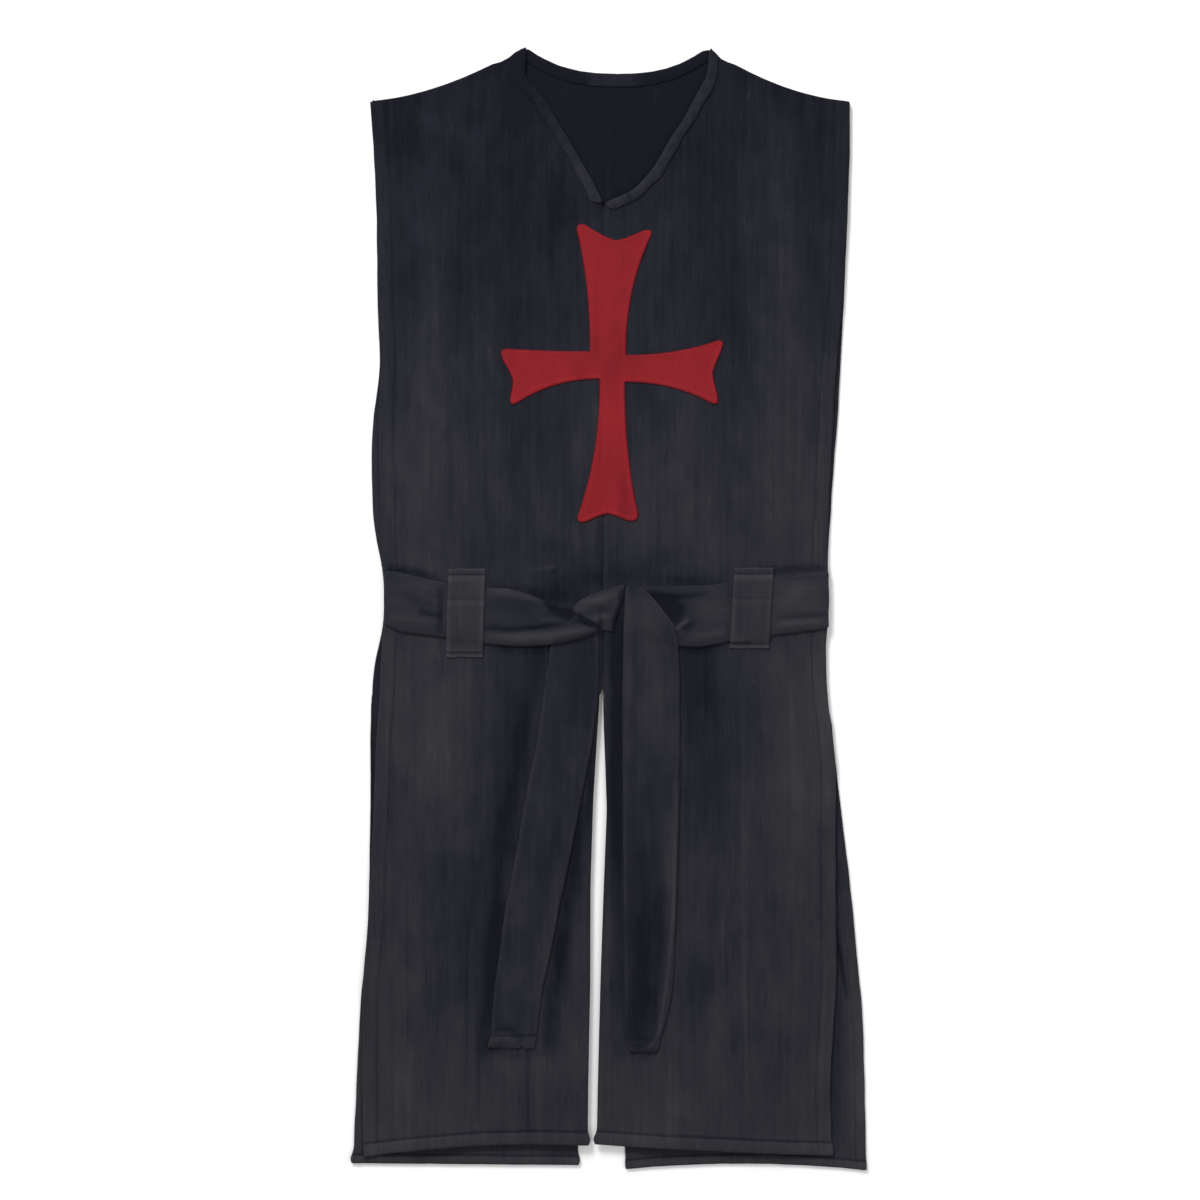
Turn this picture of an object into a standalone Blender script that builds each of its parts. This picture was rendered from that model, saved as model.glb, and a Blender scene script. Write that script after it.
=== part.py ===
"""Medieval surcoat with a cross, laid flat on its back, its cloth belt tied in front.

Lengths are in millimetres. x runs across from the centre front seam, positive toward the right of the view.
Lengths called down run from the shoulder peak toward the hem. The finished part is moved so that the middle
of its box is the origin, with the neck toward +Y and the front facing +Z.
"""
import math
from collections import namedtuple

import bpy
from mathutils import Vector
from mathutils.bvhtree import BVHTree

MM = 0.001

# Cloth walls and clearances
BACK_WALL = 1.4
FRONT_WALL = 1.5
BELT_BACK_WALL = 1.2
BELT_WALL = 1.9
TAIL_WALL = 1.8
BAND_WALL = 1.3
CROSS_WALL = 1.2
LOOP_WALL = 1.6
GAP = 0.35

# Hems
SIDE_HEM = 15.0
END_HEM = 13.0
HEM_STEP = 2.0
HEM_RISE = 0.7

# Grid sizes
PANEL_STEP_ACROSS = 17.0
PANEL_STEP_ALONG = 26.0

# Shoulders and neck
SHOULDER_SAG = 9.0
NECK_MIDDLE_X = 15.0
NECK_DEPTH = 30.5
NECK_POWER = 2.6
PEAK_LEFT_X = -83.0
PEAK_RIGHT_X = 110.0
SHOULDER_BLEND = 190.0
V_DEPTH = 154.0
BAND_WIDTH = 10.5
BAND_ROLL = 1.0
BAND_CELLS = 3
BACK_BAND_COUNT = 15
BACK_BAND_INSET = 4.0

# Air under the front
AIR = 3.0
AIR_SIDE_RAMP = 75.0
AIR_SHOULDER_RAMP = 70.0
WAIST_DOWN = 556.0
WAIST_SPREAD = 60.0
WAIST_PRESS = 0.6

# Belt
BELT_TOP = 524.0
BELT_BOTTOM = 580.0
BELT_MARGIN = 1.5
BELT_FLAP = 12.0
BELT_SIDE_LEFT = -216.5
BELT_SIDE_RIGHT = 223.5
BELT_SIDE_CLEAR = 0.4
BELT_SIDE_WALL = 1.2
BELT_BEVEL = 0.5

# How far beyond an edge the cloth over it starts to drop
EDGE_REACH = 3.0
SETTLE_PASSES = 2
EDGE_PLACES = (
    (0.0, 0.0), (EDGE_REACH, 0.0), (-EDGE_REACH, 0.0), (0.0, EDGE_REACH), (0.0, -EDGE_REACH),
)

Section = namedtuple("Section", "outer_x outer_down inner_x inner_down")
Fold = namedtuple("Fold", "x0 down0 x1 down1 width height")
Run = namedtuple("Run", "x top bottom gather")
Tail = namedtuple("Tail", "down left right")
Arm = namedtuple("Arm", "angle length tip_left tip_right notch")
Loop = namedtuple("Loop", "top_x bottom_x top bottom width")

FRONT_LEFT = (
    Section(-233.0, 1107.5, -15.5, 1096.0),
    Section(-234.0, 1037.0, -15.0, 1037.0),
    Section(-233.5, 937.0, -13.0, 937.0),
    Section(-232.0, 837.0, -12.7, 837.0),
    Section(-228.0, 752.0, -10.0, 752.0),
    Section(-226.0, 697.0, -6.7, 697.0),
    Section(-222.0, 652.0, -3.7, 652.0),
    Section(-221.0, 640.0, -1.0, 640.0),
    Section(-219.3, 607.0, -0.2, 607.0),
    Section(-218.2, 588.0, -0.2, 588.0),
    Section(BELT_SIDE_LEFT, 581.0, -0.2, 581.0),
    Section(BELT_SIDE_LEFT, 523.0, -0.2, 523.0),
    Section(-218.4, 514.0, -0.2, 514.0),
    Section(-219.5, 460.0, -0.2, 460.0),
    Section(-221.0, 407.0, -0.2, 407.0),
    Section(-222.5, 337.0, -0.2, 337.0),
    Section(-225.0, 252.0, -0.2, 252.0),
    Section(-226.0, 166.0, -0.2, V_DEPTH),
    Section(-227.5, 132.0, -13.0, 130.0),
    Section(-229.0, 102.0, -39.0, 86.0),
    Section(-230.0, 80.0, -59.0, 53.0),
    Section(-231.0, 64.0, -80.0, 29.0),
    Section(-231.5, 52.0, PEAK_LEFT_X, 0.0),
)

FRONT_RIGHT = (
    Section(228.0, 1106.0, -6.0, 1095.0),
    Section(225.5, 1037.0, -5.0, 1037.0),
    Section(231.5, 932.0, -2.3, 932.0),
    Section(230.8, 837.0, 1.0, 837.0),
    Section(230.6, 762.0, 4.0, 762.0),
    Section(230.4, 717.0, 2.5, 717.0),
    Section(227.8, 680.0, 1.0, 680.0),
    Section(224.0, 652.0, 0.4, 652.0),
    Section(223.0, 640.0, 0.2, 640.0),
    Section(221.6, 607.0, 0.2, 607.0),
    Section(222.0, 588.0, 0.2, 588.0),
    Section(BELT_SIDE_RIGHT, 581.0, 0.2, 581.0),
    Section(BELT_SIDE_RIGHT, 523.0, 0.2, 523.0),
    Section(222.0, 514.0, 0.2, 514.0),
    Section(224.7, 439.0, 0.2, 439.0),
    Section(228.6, 375.0, 0.2, 375.0),
    Section(231.0, 332.0, 0.2, 332.0),
    Section(239.0, 252.0, 0.2, 252.0),
    Section(243.8, 166.0, 0.2, V_DEPTH),
    Section(244.5, 140.0, 27.0, 149.0),
    Section(245.0, 116.0, 51.0, 123.0),
    Section(245.5, 96.0, 70.0, 90.0),
    Section(245.7, 82.0, 81.0, 75.0),
    Section(245.8, 72.0, 89.0, 59.0),
    Section(246.0, 62.0, 106.0, 29.0),
    Section(246.0, 54.0, PEAK_RIGHT_X, 2.5),
)

BACK_LEFT = (
    Section(-249.5, 1113.0, -26.0, 1115.0),
    Section(-246.0, 1047.0, -23.7, 1047.0),
    Section(-241.5, 952.0, -20.0, 952.0),
    Section(-234.0, 877.0, -17.5, 877.0),
    Section(-232.5, 812.0, -15.0, 812.0),
    Section(-231.5, 737.0, -10.5, 737.0),
    Section(-232.0, 687.0, -7.0, 687.0),
    Section(-230.0, 652.0, -3.9, 652.0),
    Section(-229.0, 640.0, -1.2, 640.0),
    Section(-225.5, 607.0, -0.2, 607.0),
    Section(-218.7, 588.0, -0.2, 588.0),
    Section(BELT_SIDE_LEFT, 581.0, -0.2, 581.0),
    Section(BELT_SIDE_LEFT, 523.0, -0.2, 523.0),
    Section(-218.7, 514.0, 0.1, 514.0),
    Section(-225.0, 492.0, 0.8, 492.0),
    Section(-228.0, 460.0, 1.7, 460.0),
    Section(-229.0, 396.0, 3.6, 396.0),
    Section(-224.5, 342.0, 5.1, 342.0),
    Section(-225.0, 252.0, 7.8, 252.0),
    Section(-226.0, 166.0, 10.3, 166.0),
    Section(-229.0, 102.0, 12.2, 92.0),
    Section(-231.5, 53.0, NECK_MIDDLE_X - 0.2, NECK_DEPTH),
)

BACK_RIGHT = (
    Section(262.8, 1120.0, 23.5, 1119.0),
    Section(261.0, 1047.0, 20.5, 1047.0),
    Section(258.0, 961.0, 16.0, 961.0),
    Section(254.0, 932.0, 14.5, 932.0),
    Section(246.5, 848.0, 10.5, 848.0),
    Section(241.0, 801.0, 8.0, 801.0),
    Section(235.0, 755.0, 5.5, 755.0),
    Section(229.5, 708.0, 3.0, 708.0),
    Section(223.5, 652.0, 0.8, 652.0),
    Section(222.0, 640.0, 0.4, 640.0),
    Section(221.0, 607.0, 0.2, 607.0),
    Section(222.0, 588.0, 0.2, 588.0),
    Section(BELT_SIDE_RIGHT, 581.0, 0.2, 581.0),
    Section(BELT_SIDE_RIGHT, 523.0, 0.2, 523.0),
    Section(222.3, 514.0, 0.5, 514.0),
    Section(225.0, 482.0, 1.4, 482.0),
    Section(229.0, 417.0, 3.4, 417.0),
    Section(233.0, 379.0, 4.5, 379.0),
    Section(235.8, 332.0, 5.8, 332.0),
    Section(240.5, 252.0, 8.2, 252.0),
    Section(244.0, 166.0, 10.7, 166.0),
    Section(246.0, 102.0, 12.6, 92.0),
    Section(246.3, 53.5, NECK_MIDDLE_X + 0.2, NECK_DEPTH),
)

# How far each hem bows up from a straight line between its corners
HEM_ARCH = {"front_left": 5.5, "front_right": -1.0, "back_left": 0.0, "back_right": 6.0}

# Largest folds of the front, ridges positive and troughs negative
FRONT_FOLDS = (
    Fold(-178.0, 650.0, -184.0, 1085.0, 32.0, 3.2),
    Fold(-72.0, 640.0, -112.0, 920.0, 14.0, -2.4),
    Fold(105.0, 600.0, 102.0, 800.0, 22.0, -2.4),
    Fold(165.0, 650.0, 180.0, 1070.0, 30.0, 2.8),
    Fold(-35.0, 720.0, -45.0, 1080.0, 18.0, 2.0),
    Fold(52.0, 800.0, 62.0, 1080.0, 26.0, 2.4),
    Fold(-165.0, 110.0, -160.0, 480.0, 26.0, 2.0),
    Fold(180.0, 110.0, 165.0, 480.0, 28.0, 2.0),
    Fold(-100.0, 330.0, -45.0, 520.0, 20.0, 1.6),
    Fold(120.0, 330.0, 60.0, 520.0, 20.0, 1.6),
)

# Belt over the front: edges of the strip at each station, and how tightly it is gathered there
BELT_LEFT = (
    Run(-215.5, 524.0, 577.0, 0.0),
    Run(-203.0, 525.5, 583.5, 0.1),
    Run(-183.0, 530.0, 586.0, 0.15),
    Run(-161.0, 535.0, 588.5, 0.2),
    Run(-138.0, 538.0, 592.0, 0.25),
    Run(-118.0, 540.0, 595.5, 0.35),
    Run(-96.0, 540.5, 597.5, 0.5),
    Run(-76.0, 545.5, 598.0, 0.65),
    Run(-58.0, 553.0, 597.0, 0.8),
    Run(-41.0, 560.0, 595.0, 0.95),
    Run(-24.0, 562.0, 590.5, 1.0),
    Run(-5.0, 563.0, 583.0, 0.8),
)
BELT_RIGHT = (
    Run(222.5, 524.4, 580.0, 0.0),
    Run(209.0, 525.5, 582.0, 0.1),
    Run(192.0, 528.0, 584.0, 0.15),
    Run(172.0, 530.0, 586.5, 0.2),
    Run(152.0, 532.0, 589.0, 0.25),
    Run(137.0, 533.5, 592.0, 0.35),
    Run(126.0, 534.5, 593.0, 0.45),
    Run(113.0, 537.0, 596.0, 0.6),
    Run(95.0, 538.0, 599.0, 0.8),
    Run(77.0, 538.0, 598.0, 0.95),
    Run(57.0, 538.0, 591.0, 1.0),
    Run(37.0, 538.0, 583.0, 0.9),
)
BELT_ACROSS = 8
BELT_PLEATS = 2.0
BELT_PLEAT_HEIGHT = 2.6

TAIL_LEFT = (
    Tail(574.0, -48.0, -7.0),
    Tail(596.0, -52.0, -4.0),
    Tail(622.0, -56.0, -4.2),
    Tail(652.0, -60.0, -5.5),
    Tail(695.0, -66.0, -11.0),
    Tail(747.0, -77.0, -21.0),
    Tail(808.0, -87.0, -33.0),
    Tail(860.0, -97.4, -44.0),
    Tail(912.0, -104.3, -54.0),
    Tail(936.0, -108.0, -60.0),
    Tail(982.0, -111.5, -66.0),
    Tail(1000.0, -115.5, -68.5),
)
TAIL_RIGHT = (
    Tail(539.0, 23.0, 37.0),
    Tail(549.0, 22.5, 49.0),
    Tail(562.0, 21.5, 60.0),
    Tail(576.0, 21.0, 71.0),
    Tail(593.0, 20.5, 75.0),
    Tail(622.0, 20.0, 76.4),
    Tail(652.0, 19.7, 76.6),
    Tail(742.0, 20.0, 76.4),
    Tail(839.0, 21.0, 73.8),
    Tail(895.0, 21.5, 72.0),
    Tail(932.0, 22.0, 70.0),
    Tail(959.0, 22.0, 66.0),
    Tail(988.0, 22.0, 58.5),
    Tail(1004.0, 27.0, 53.5),
)
TAIL_ACROSS = 6
TAIL_STEP = 34.0
TAIL_WAVES = 1.5
TAIL_WAVE_HEIGHT = 1.0

# Knot: corners of the strip that crosses it
KNOT_CORNERS = ((-30.5, 557.5), (21.0, 536.5), (12.0, 581.0), (-3.0, 583.0))
KNOT_CELLS = 6
KNOT_PUFF = 2.6
KNOT_WALL = 2.0

# Belt loops over the belt
LOOPS = {
    "loop_left": Loop(-136.0, -138.5, 521.0, 609.0, 37.0),
    "loop_right": Loop(151.0, 146.3, 520.0, 600.0, 39.5),
}
LOOP_CELLS = (4, 10)

# Cross: arms outward from its centre, widths to the left and right of an arm seen from the centre
CROSS_CENTRE = (9.0, 320.0)
CROSS_ROOT = 14.5
CROSS_FLARE = 1.75
CROSS_ARMS = (
    Arm(90.0, 142.0, 35.0, 39.0, 13.0),
    Arm(0.0, 108.0, 25.0, 34.0, 9.0),
    Arm(-90.0, 152.0, 26.0, 33.0, 10.0),
    Arm(180.0, 108.0, 36.0, 18.0, 9.0),
)
CROSS_CELLS_ACROSS = 4
CROSS_CELLS_ALONG = 7

COLOURS = {
    "surcoat_black": (0.035, 0.035, 0.042),
    "band_black": (0.028, 0.028, 0.034),
    "belt_black": (0.04, 0.04, 0.047),
    "cross_red": (0.3, 0.015, 0.02),
}


def clear_scene():
    for obj in list(bpy.data.objects):
        bpy.data.objects.remove(obj, do_unlink=True)


def material(name, slot):
    mat = bpy.data.materials.new(name)
    mat.use_nodes = True
    shader = mat.node_tree.nodes["Principled BSDF"]
    shader.inputs["Base Color"].default_value = (*COLOURS[slot], 1.0)
    shader.inputs["Roughness"].default_value = 0.9
    return mat


def ramp(value, length):
    """Smooth rise from 0 to 1 over a length."""
    t = min(1.0, max(0.0, value / length))
    return t * t * (3.0 - 2.0 * t)


def mix(a, b, t):
    return a + (b - a) * t


# Shells

def grid_faces(rows, columns):
    faces = []
    for i in range(rows - 1):
        for j in range(columns - 1):
            first = i * columns + j
            faces.append((first, first + 1, first + columns + 1, first + columns))
    return faces


def facing_up(flat, faces):
    """The faces wound so that the cloth's upper side faces +Z. flat holds x and down."""
    area = 0.0
    for face in faces:
        for a, b in zip(face, face[1:] + face[:1]):
            area += flat[a][0] * -flat[b][1] - flat[b][0] * -flat[a][1]
    if area < 0.0:
        return [face[::-1] for face in faces]
    return faces


def rim(faces):
    edges = set()
    for face in faces:
        for edge in zip(face, face[1:] + face[:1]):
            edges.add(edge)
    return [edge for edge in sorted(edges) if edge[::-1] not in edges]


def shell(name, slot, under, upper, faces):
    """One closed body between two sheets of points, each point being x, down and height."""
    count = len(under)
    points = [(x * MM, -down * MM, z * MM) for x, down, z in under + upper]
    triangles = []
    for a, b, c, d in faces:
        for corner in ((a, b, c), (a, c, d)):
            triangles.append(tuple(i + count for i in corner))
            triangles.append(corner[::-1])
    for a, b in rim(faces):
        triangles.append((a, b, b + count))
        triangles.append((a, b + count, a + count))
    mesh = bpy.data.meshes.new(name)
    mesh.from_pydata(points, [], triangles)
    mesh.materials.append(material(name, slot))
    mesh.update()
    obj = bpy.data.objects.new(name, mesh)
    bpy.context.scene.collection.objects.link(obj)
    return obj


def tree_of(obj):
    points = [vertex.co.copy() for vertex in obj.data.vertices]
    return BVHTree.FromPolygons(points, [tuple(p.vertices) for p in obj.data.polygons])


def top_of(tree, x, down):
    """Height of a body's highest surface at a place, or None beside the body."""
    hit = tree.ray_cast(Vector((x * MM, -down * MM, 1.0)), Vector((0.0, 0.0, -1.0)))
    if hit[0] is None:
        return None
    return hit[0].z / MM


def clear_of(bodies, base, edged=()):
    """A function that gives the lowest height a cloth may have over broad bodies and over edged ones.

    An edged body ends under the cloth, so the cloth stays clear for a little way beyond its edge too.
    """
    broad = [(tree_of(obj), ((0.0, 0.0),)) for obj in bodies]
    narrow = [(tree_of(obj), EDGE_PLACES) for obj in edged]

    def need(x, down):
        height = base
        for tree, places in broad + narrow:
            for across, along in places:
                top = top_of(tree, x + across, down + along)
                if top is not None:
                    height = max(height, top + GAP)
        return height

    return need


SAMPLES = (
    (0.34, 0.33, 0.33), (0.5, 0.5, 0.0), (0.5, 0.0, 0.5), (0.0, 0.5, 0.5),
    (0.8, 0.1, 0.1), (0.1, 0.8, 0.1), (0.1, 0.1, 0.8),
    (0.75, 0.25, 0.0), (0.25, 0.75, 0.0), (0.0, 0.75, 0.25), (0.0, 0.25, 0.75),
    (0.75, 0.0, 0.25), (0.25, 0.0, 0.75),
)


def shortfall(flat, heights, corner, weights, need):
    x = sum(w * flat[i][0] for w, i in zip(weights, corner))
    down = sum(w * flat[i][1] for w, i in zip(weights, corner))
    here = sum(w * heights[i] for w, i in zip(weights, corner))
    return need(x, down) - here


def settle(flat, faces, need):
    """Heights that keep a cloth clear of what it lies on, at its points and between them."""
    heights = [need(x, down) for x, down in flat]
    corners = [c for face in faces for c in (face[:3], (face[0], face[2], face[3]))]
    for _ in range(SETTLE_PASSES):
        for corner in corners:
            for weights in SAMPLES:
                short = shortfall(flat, heights, corner, weights, need)
                if short > 0.0:
                    share = short / sum(w * w for w in weights)
                    for w, i in zip(weights, corner):
                        heights[i] += share * w
    for corner in corners:
        short = max(shortfall(flat, heights, corner, weights, need) for weights in SAMPLES)
        for i in corner:
            heights[i] += max(0.0, short)
    return heights


def with_height(flat, heights):
    return [(x, down, z) for (x, down), z in zip(flat, heights)]


# Panels

def fold_height(fold, x, down):
    along = Vector((fold.x1 - fold.x0, fold.down1 - fold.down0))
    place = Vector((x - fold.x0, down - fold.down0))
    t = place.dot(along) / along.length_squared
    past = max(0.0, -t, t - 1.0) * along.length
    aside = abs(place.x * along.y - place.y * along.x) / along.length
    spread = math.exp(-(aside / fold.width) ** 2)
    return fold.height * spread * math.exp(-(past / (2.0 * fold.width)) ** 2)


def front_air(x, down, from_side, from_top):
    """Air and folds between the front and what it lies on."""
    press = 1.0 - WAIST_PRESS * math.exp(-((down - WAIST_DOWN) / WAIST_SPREAD) ** 2)
    folds = sum(fold_height(fold, x, down) for fold in FRONT_FOLDS)
    edges = ramp(from_side, AIR_SIDE_RAMP) * ramp(from_top, AIR_SHOULDER_RAMP)
    return max(0.0, (AIR + folds) * press * edges)


def no_air(x, down, from_side, from_top):
    return 0.0


def shoulder_down(x):
    """Down of the top outline at x: two sloping shoulders with the neck's curve between them."""
    if x < PEAK_LEFT_X:
        t = (x - BACK_LEFT[-1].outer_x) / (PEAK_LEFT_X - BACK_LEFT[-1].outer_x)
        return mix(BACK_LEFT[-1].outer_down, 0.0, t) + SHOULDER_SAG * 4.0 * t * (1.0 - t)
    if x > PEAK_RIGHT_X:
        t = (BACK_RIGHT[-1].outer_x - x) / (BACK_RIGHT[-1].outer_x - PEAK_RIGHT_X)
        return mix(BACK_RIGHT[-1].outer_down, 2.5, t) + SHOULDER_SAG * 4.0 * t * (1.0 - t)
    half = (PEAK_RIGHT_X if x > NECK_MIDDLE_X else PEAK_LEFT_X) - NECK_MIDDLE_X
    return NECK_DEPTH * (1.0 - ((x - NECK_MIDDLE_X) / half) ** NECK_POWER)


def panel_rows(sections):
    """Sections with rows added for the hem and for even spacing."""
    rows = []
    for first, second in zip(sections, sections[1:]):
        length = abs(first.outer_down - second.outer_down)
        steps = max(1, round(length / PANEL_STEP_ALONG))
        fractions = [i / steps for i in range(steps)]
        if first is sections[0]:
            hem = [0.0, END_HEM / length, (END_HEM + HEM_STEP) / length]
            fractions = hem + [f for f in fractions if f > hem[-1] + 0.1]
        for fraction in fractions:
            rows.append(Section(*(mix(a, b, fraction) for a, b in zip(first, second))))
    rows.append(sections[-1])
    return rows


def panel_columns(sections, peak_x):
    """Fractions across a panel, with columns at the side hem and at the shoulder peak."""
    top = sections[-1]
    peak = (peak_x - top.outer_x) / (top.inner_x - top.outer_x)
    width = abs(sections[0].inner_x - sections[0].outer_x)
    columns = [0.0, SIDE_HEM / width, (SIDE_HEM + HEM_STEP) / width]
    for end in (peak, 1.0):
        start = columns[-1]
        steps = round((end - start) * width / PANEL_STEP_ACROSS)
        columns += [mix(start, end, (i + 1) / steps) for i in range(steps)]
    return columns


def panel(name, sections, peak_x, wall, need, air):
    """A panel as a closed wall, its hems raised in its outer points."""
    rows = panel_rows(sections)
    columns = panel_columns(sections, peak_x)
    bottom, top = rows[0], rows[-1]
    flat = []
    from_edges = []
    for row in rows:
        shoulder = ramp(SHOULDER_BLEND - (row.outer_down - top.outer_down), SHOULDER_BLEND)
        hem = ramp(SHOULDER_BLEND - (bottom.outer_down - row.outer_down), SHOULDER_BLEND)
        for u in columns:
            x = mix(row.outer_x, row.inner_x, u)
            down = mix(row.outer_down, row.inner_down, u)
            top_x = mix(top.outer_x, top.inner_x, u)
            bend = shoulder_down(top_x) - mix(top.outer_down, top.inner_down, u)
            down += shoulder * bend - hem * HEM_ARCH[name] * 4.0 * u * (1.0 - u)
            flat.append((x, down))
            from_side = u * abs(row.inner_x - row.outer_x)
            from_top = row.outer_down - top.outer_down
            from_edges.append((from_side, from_top, bottom.outer_down - row.outer_down))
    faces = facing_up(flat, grid_faces(len(rows), len(columns)))
    heights = settle(flat, faces, need)
    under = []
    upper = []
    for (x, down), z, (from_side, from_top, from_hem) in zip(flat, heights, from_edges):
        z += air(x, down, from_side, from_top)
        hemmed = from_side < SIDE_HEM + 1.0 or from_hem < END_HEM + 1.0
        under.append((x, down, z))
        upper.append((x, down, z + wall + (HEM_RISE if hemmed else 0.0)))
    return shell(name, "surcoat_black", under, upper, faces)


def over_back_belt(x, down):
    """Underside of the back: on the floor, and over the belt where it runs beneath."""
    if BELT_TOP - BELT_MARGIN < down < BELT_BOTTOM + BELT_MARGIN:
        return BELT_BACK_WALL + GAP
    return 0.0


# Bands, cross and loops

def strip_along(path, width):
    """Points of a flat strip, from a path at one edge to its other edge on the path's left."""
    cells = BAND_CELLS
    flat = []
    for i, (x, down) in enumerate(path):
        before = Vector(path[max(0, i - 1)])
        after = Vector(path[min(len(path) - 1, i + 1)])
        along = (after - before).normalized()
        for j in range(cells + 1):
            offset = width * j / cells
            flat.append((x + along.y * offset, down - along.x * offset))
    return flat


def rolled_strip(name, flat, need):
    """A narrow band over a grid of points, raised along its middle."""
    cells = BAND_CELLS
    faces = facing_up(flat, grid_faces(len(flat) // (cells + 1), cells + 1))
    under = with_height(flat, settle(flat, faces, need))
    upper = []
    for i, (x, down, z) in enumerate(under):
        roll = BAND_ROLL * math.sin(math.pi * (i % (cells + 1)) / cells)
        upper.append((x, down, z + BAND_WALL + roll))
    return shell(name, "band_black", under, upper, faces)


def neck_edge(sections):
    """The V edge of a front half, from its foot to the shoulder peak."""
    edge = [(s.inner_x, s.inner_down) for s in sections if s.inner_down <= V_DEPTH]
    path = []
    for (x0, down0), (x1, down1) in zip(edge, edge[1:]):
        path.append((x0, down0))
        path.append((mix(x0, x1, 0.5), mix(down0, down1, 0.5)))
    path.append(edge[-1])
    return path


def back_band_points():
    """Points of the back band, hanging straight down from the neck's curve."""
    start = PEAK_LEFT_X + BACK_BAND_INSET
    end = PEAK_RIGHT_X - BACK_BAND_INSET
    flat = []
    for i in range(BACK_BAND_COUNT):
        x = mix(start, end, i / (BACK_BAND_COUNT - 1))
        for j in range(BAND_CELLS + 1):
            flat.append((x, shoulder_down(x) + 0.5 + BAND_WIDTH * j / BAND_CELLS))
    return flat


def cross_arm(arm):
    """Flat points of one arm of the cross, rows outward from the centre square."""
    angle = math.radians(arm.angle)
    out = Vector((math.cos(angle), -math.sin(angle)))
    left = Vector((-math.sin(angle), -math.cos(angle)))
    flat = []
    for i in range(CROSS_CELLS_ALONG + 1):
        t = i / CROSS_CELLS_ALONG
        for j in range(CROSS_CELLS_ACROSS + 1):
            s = 1.0 - 2.0 * j / CROSS_CELLS_ACROSS
            tip = arm.tip_left if s > 0.0 else arm.tip_right
            half = mix(CROSS_ROOT, tip, t ** CROSS_FLARE)
            reach = mix(CROSS_ROOT, arm.length, t) - arm.notch * (1.0 - abs(s)) * t ** 3
            place = Vector(CROSS_CENTRE) + out * reach + left * (s * half)
            flat.append((place.x, place.y))
    return flat


def cross_centre():
    steps = CROSS_CELLS_ACROSS
    flat = []
    for i in range(steps + 1):
        for j in range(steps + 1):
            x = CROSS_CENTRE[0] + CROSS_ROOT * (2.0 * j / steps - 1.0)
            flat.append((x, CROSS_CENTRE[1] + CROSS_ROOT * (2.0 * i / steps - 1.0)))
    return flat


def merged(patches):
    """Join patches of points and faces where their points meet."""
    flat = []
    faces = []
    seen = {}
    for points, patch in patches:
        places = []
        for x, down in points:
            key = (round(x, 2), round(down, 2))
            if key not in seen:
                seen[key] = len(flat)
                flat.append((x, down))
            places.append(seen[key])
        faces += [tuple(places[i] for i in face) for face in patch]
    return flat, faces


def cross(need):
    side = CROSS_CELLS_ACROSS + 1
    patches = [(cross_centre(), grid_faces(side, side))]
    patches += [(cross_arm(arm), grid_faces(CROSS_CELLS_ALONG + 1, side)) for arm in CROSS_ARMS]
    patches = [(points, facing_up(points, faces)) for points, faces in patches]
    flat, faces = merged(patches)
    under = with_height(flat, settle(flat, faces, need))
    upper = [(x, down, z + CROSS_WALL) for x, down, z in under]
    return shell("cross", "cross_red", under, upper, faces)


def belt_loop(name, loop, need):
    across, along = LOOP_CELLS
    flat = []
    for i in range(along + 1):
        t = i / along
        middle = mix(loop.top_x, loop.bottom_x, t)
        for j in range(across + 1):
            flat.append((middle + loop.width * (j / across - 0.5), mix(loop.top, loop.bottom, t)))
    faces = facing_up(flat, grid_faces(along + 1, across + 1))
    under = with_height(flat, settle(flat, faces, need))
    upper = [(x, down, z + LOOP_WALL) for x, down, z in under]
    return shell(name, "surcoat_black", under, upper, faces)


# Belt, knot and tails

def pleat(gather, v):
    """Rise of a gathered strip over its plain wall, v running across it."""
    wave = 0.5 - 0.5 * math.cos(2.0 * math.pi * BELT_PLEATS * v)
    return BELT_PLEAT_HEIGHT * gather * wave


def wrap_profile(side_x):
    """Turn of the belt round a side, from its flap under the back up to the front.

    Each row holds the inner x and height, the outer x and height, and whether the heights start from the
    height of the front run instead of the floor.
    """
    outward = math.copysign(1.0, side_x)
    wall_x = side_x + outward * BELT_SIDE_CLEAR
    skin_x = wall_x + outward * BELT_SIDE_WALL
    flap_x = side_x - outward * BELT_FLAP
    bevel = outward * BELT_BEVEL
    return (
        (flap_x, BELT_BACK_WALL, flap_x, 0.0, False),
        (wall_x, BELT_BACK_WALL, skin_x - 2.0 * bevel, 0.0, False),
        (wall_x, BELT_BACK_WALL + BELT_BEVEL, skin_x, 2.0 * BELT_BEVEL, False),
        (wall_x, -BELT_BEVEL, skin_x, BELT_BEVEL, True),
        (wall_x - bevel, 0.0, wall_x + bevel, BELT_WALL - BELT_BEVEL, True),
    )


def belt_run(name, runs, side_x, need):
    """A front run of the belt, wrapped round the garment's side and a little way under its back."""
    columns = BELT_ACROSS + 1
    flat = []
    rise = []
    for run in runs:
        for j in range(columns):
            v = j / BELT_ACROSS
            flat.append((run.x, mix(run.top, run.bottom, v)))
            rise.append(BELT_WALL + pleat(run.gather, v))
    heights = settle(flat, grid_faces(len(runs), columns), need)
    inner = with_height(flat, heights)
    outer = [(x, down, z + r) for (x, down, z), r in zip(inner, rise)]
    wrap_inner = []
    wrap_outer = []
    profile = wrap_profile(side_x)
    for inner_x, inner_z, outer_x, outer_z, from_front in profile:
        for j in range(columns):
            start = heights[j] if from_front else 0.0
            wrap_inner.append((inner_x, flat[j][1], start + inner_z))
            wrap_outer.append((outer_x, flat[j][1], start + outer_z))
    inner = wrap_inner + inner
    outer = wrap_outer + outer
    faces = facing_up(outer, grid_faces(len(profile) + len(runs), columns))
    return shell(name, "belt_black", inner, outer, faces)


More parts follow.
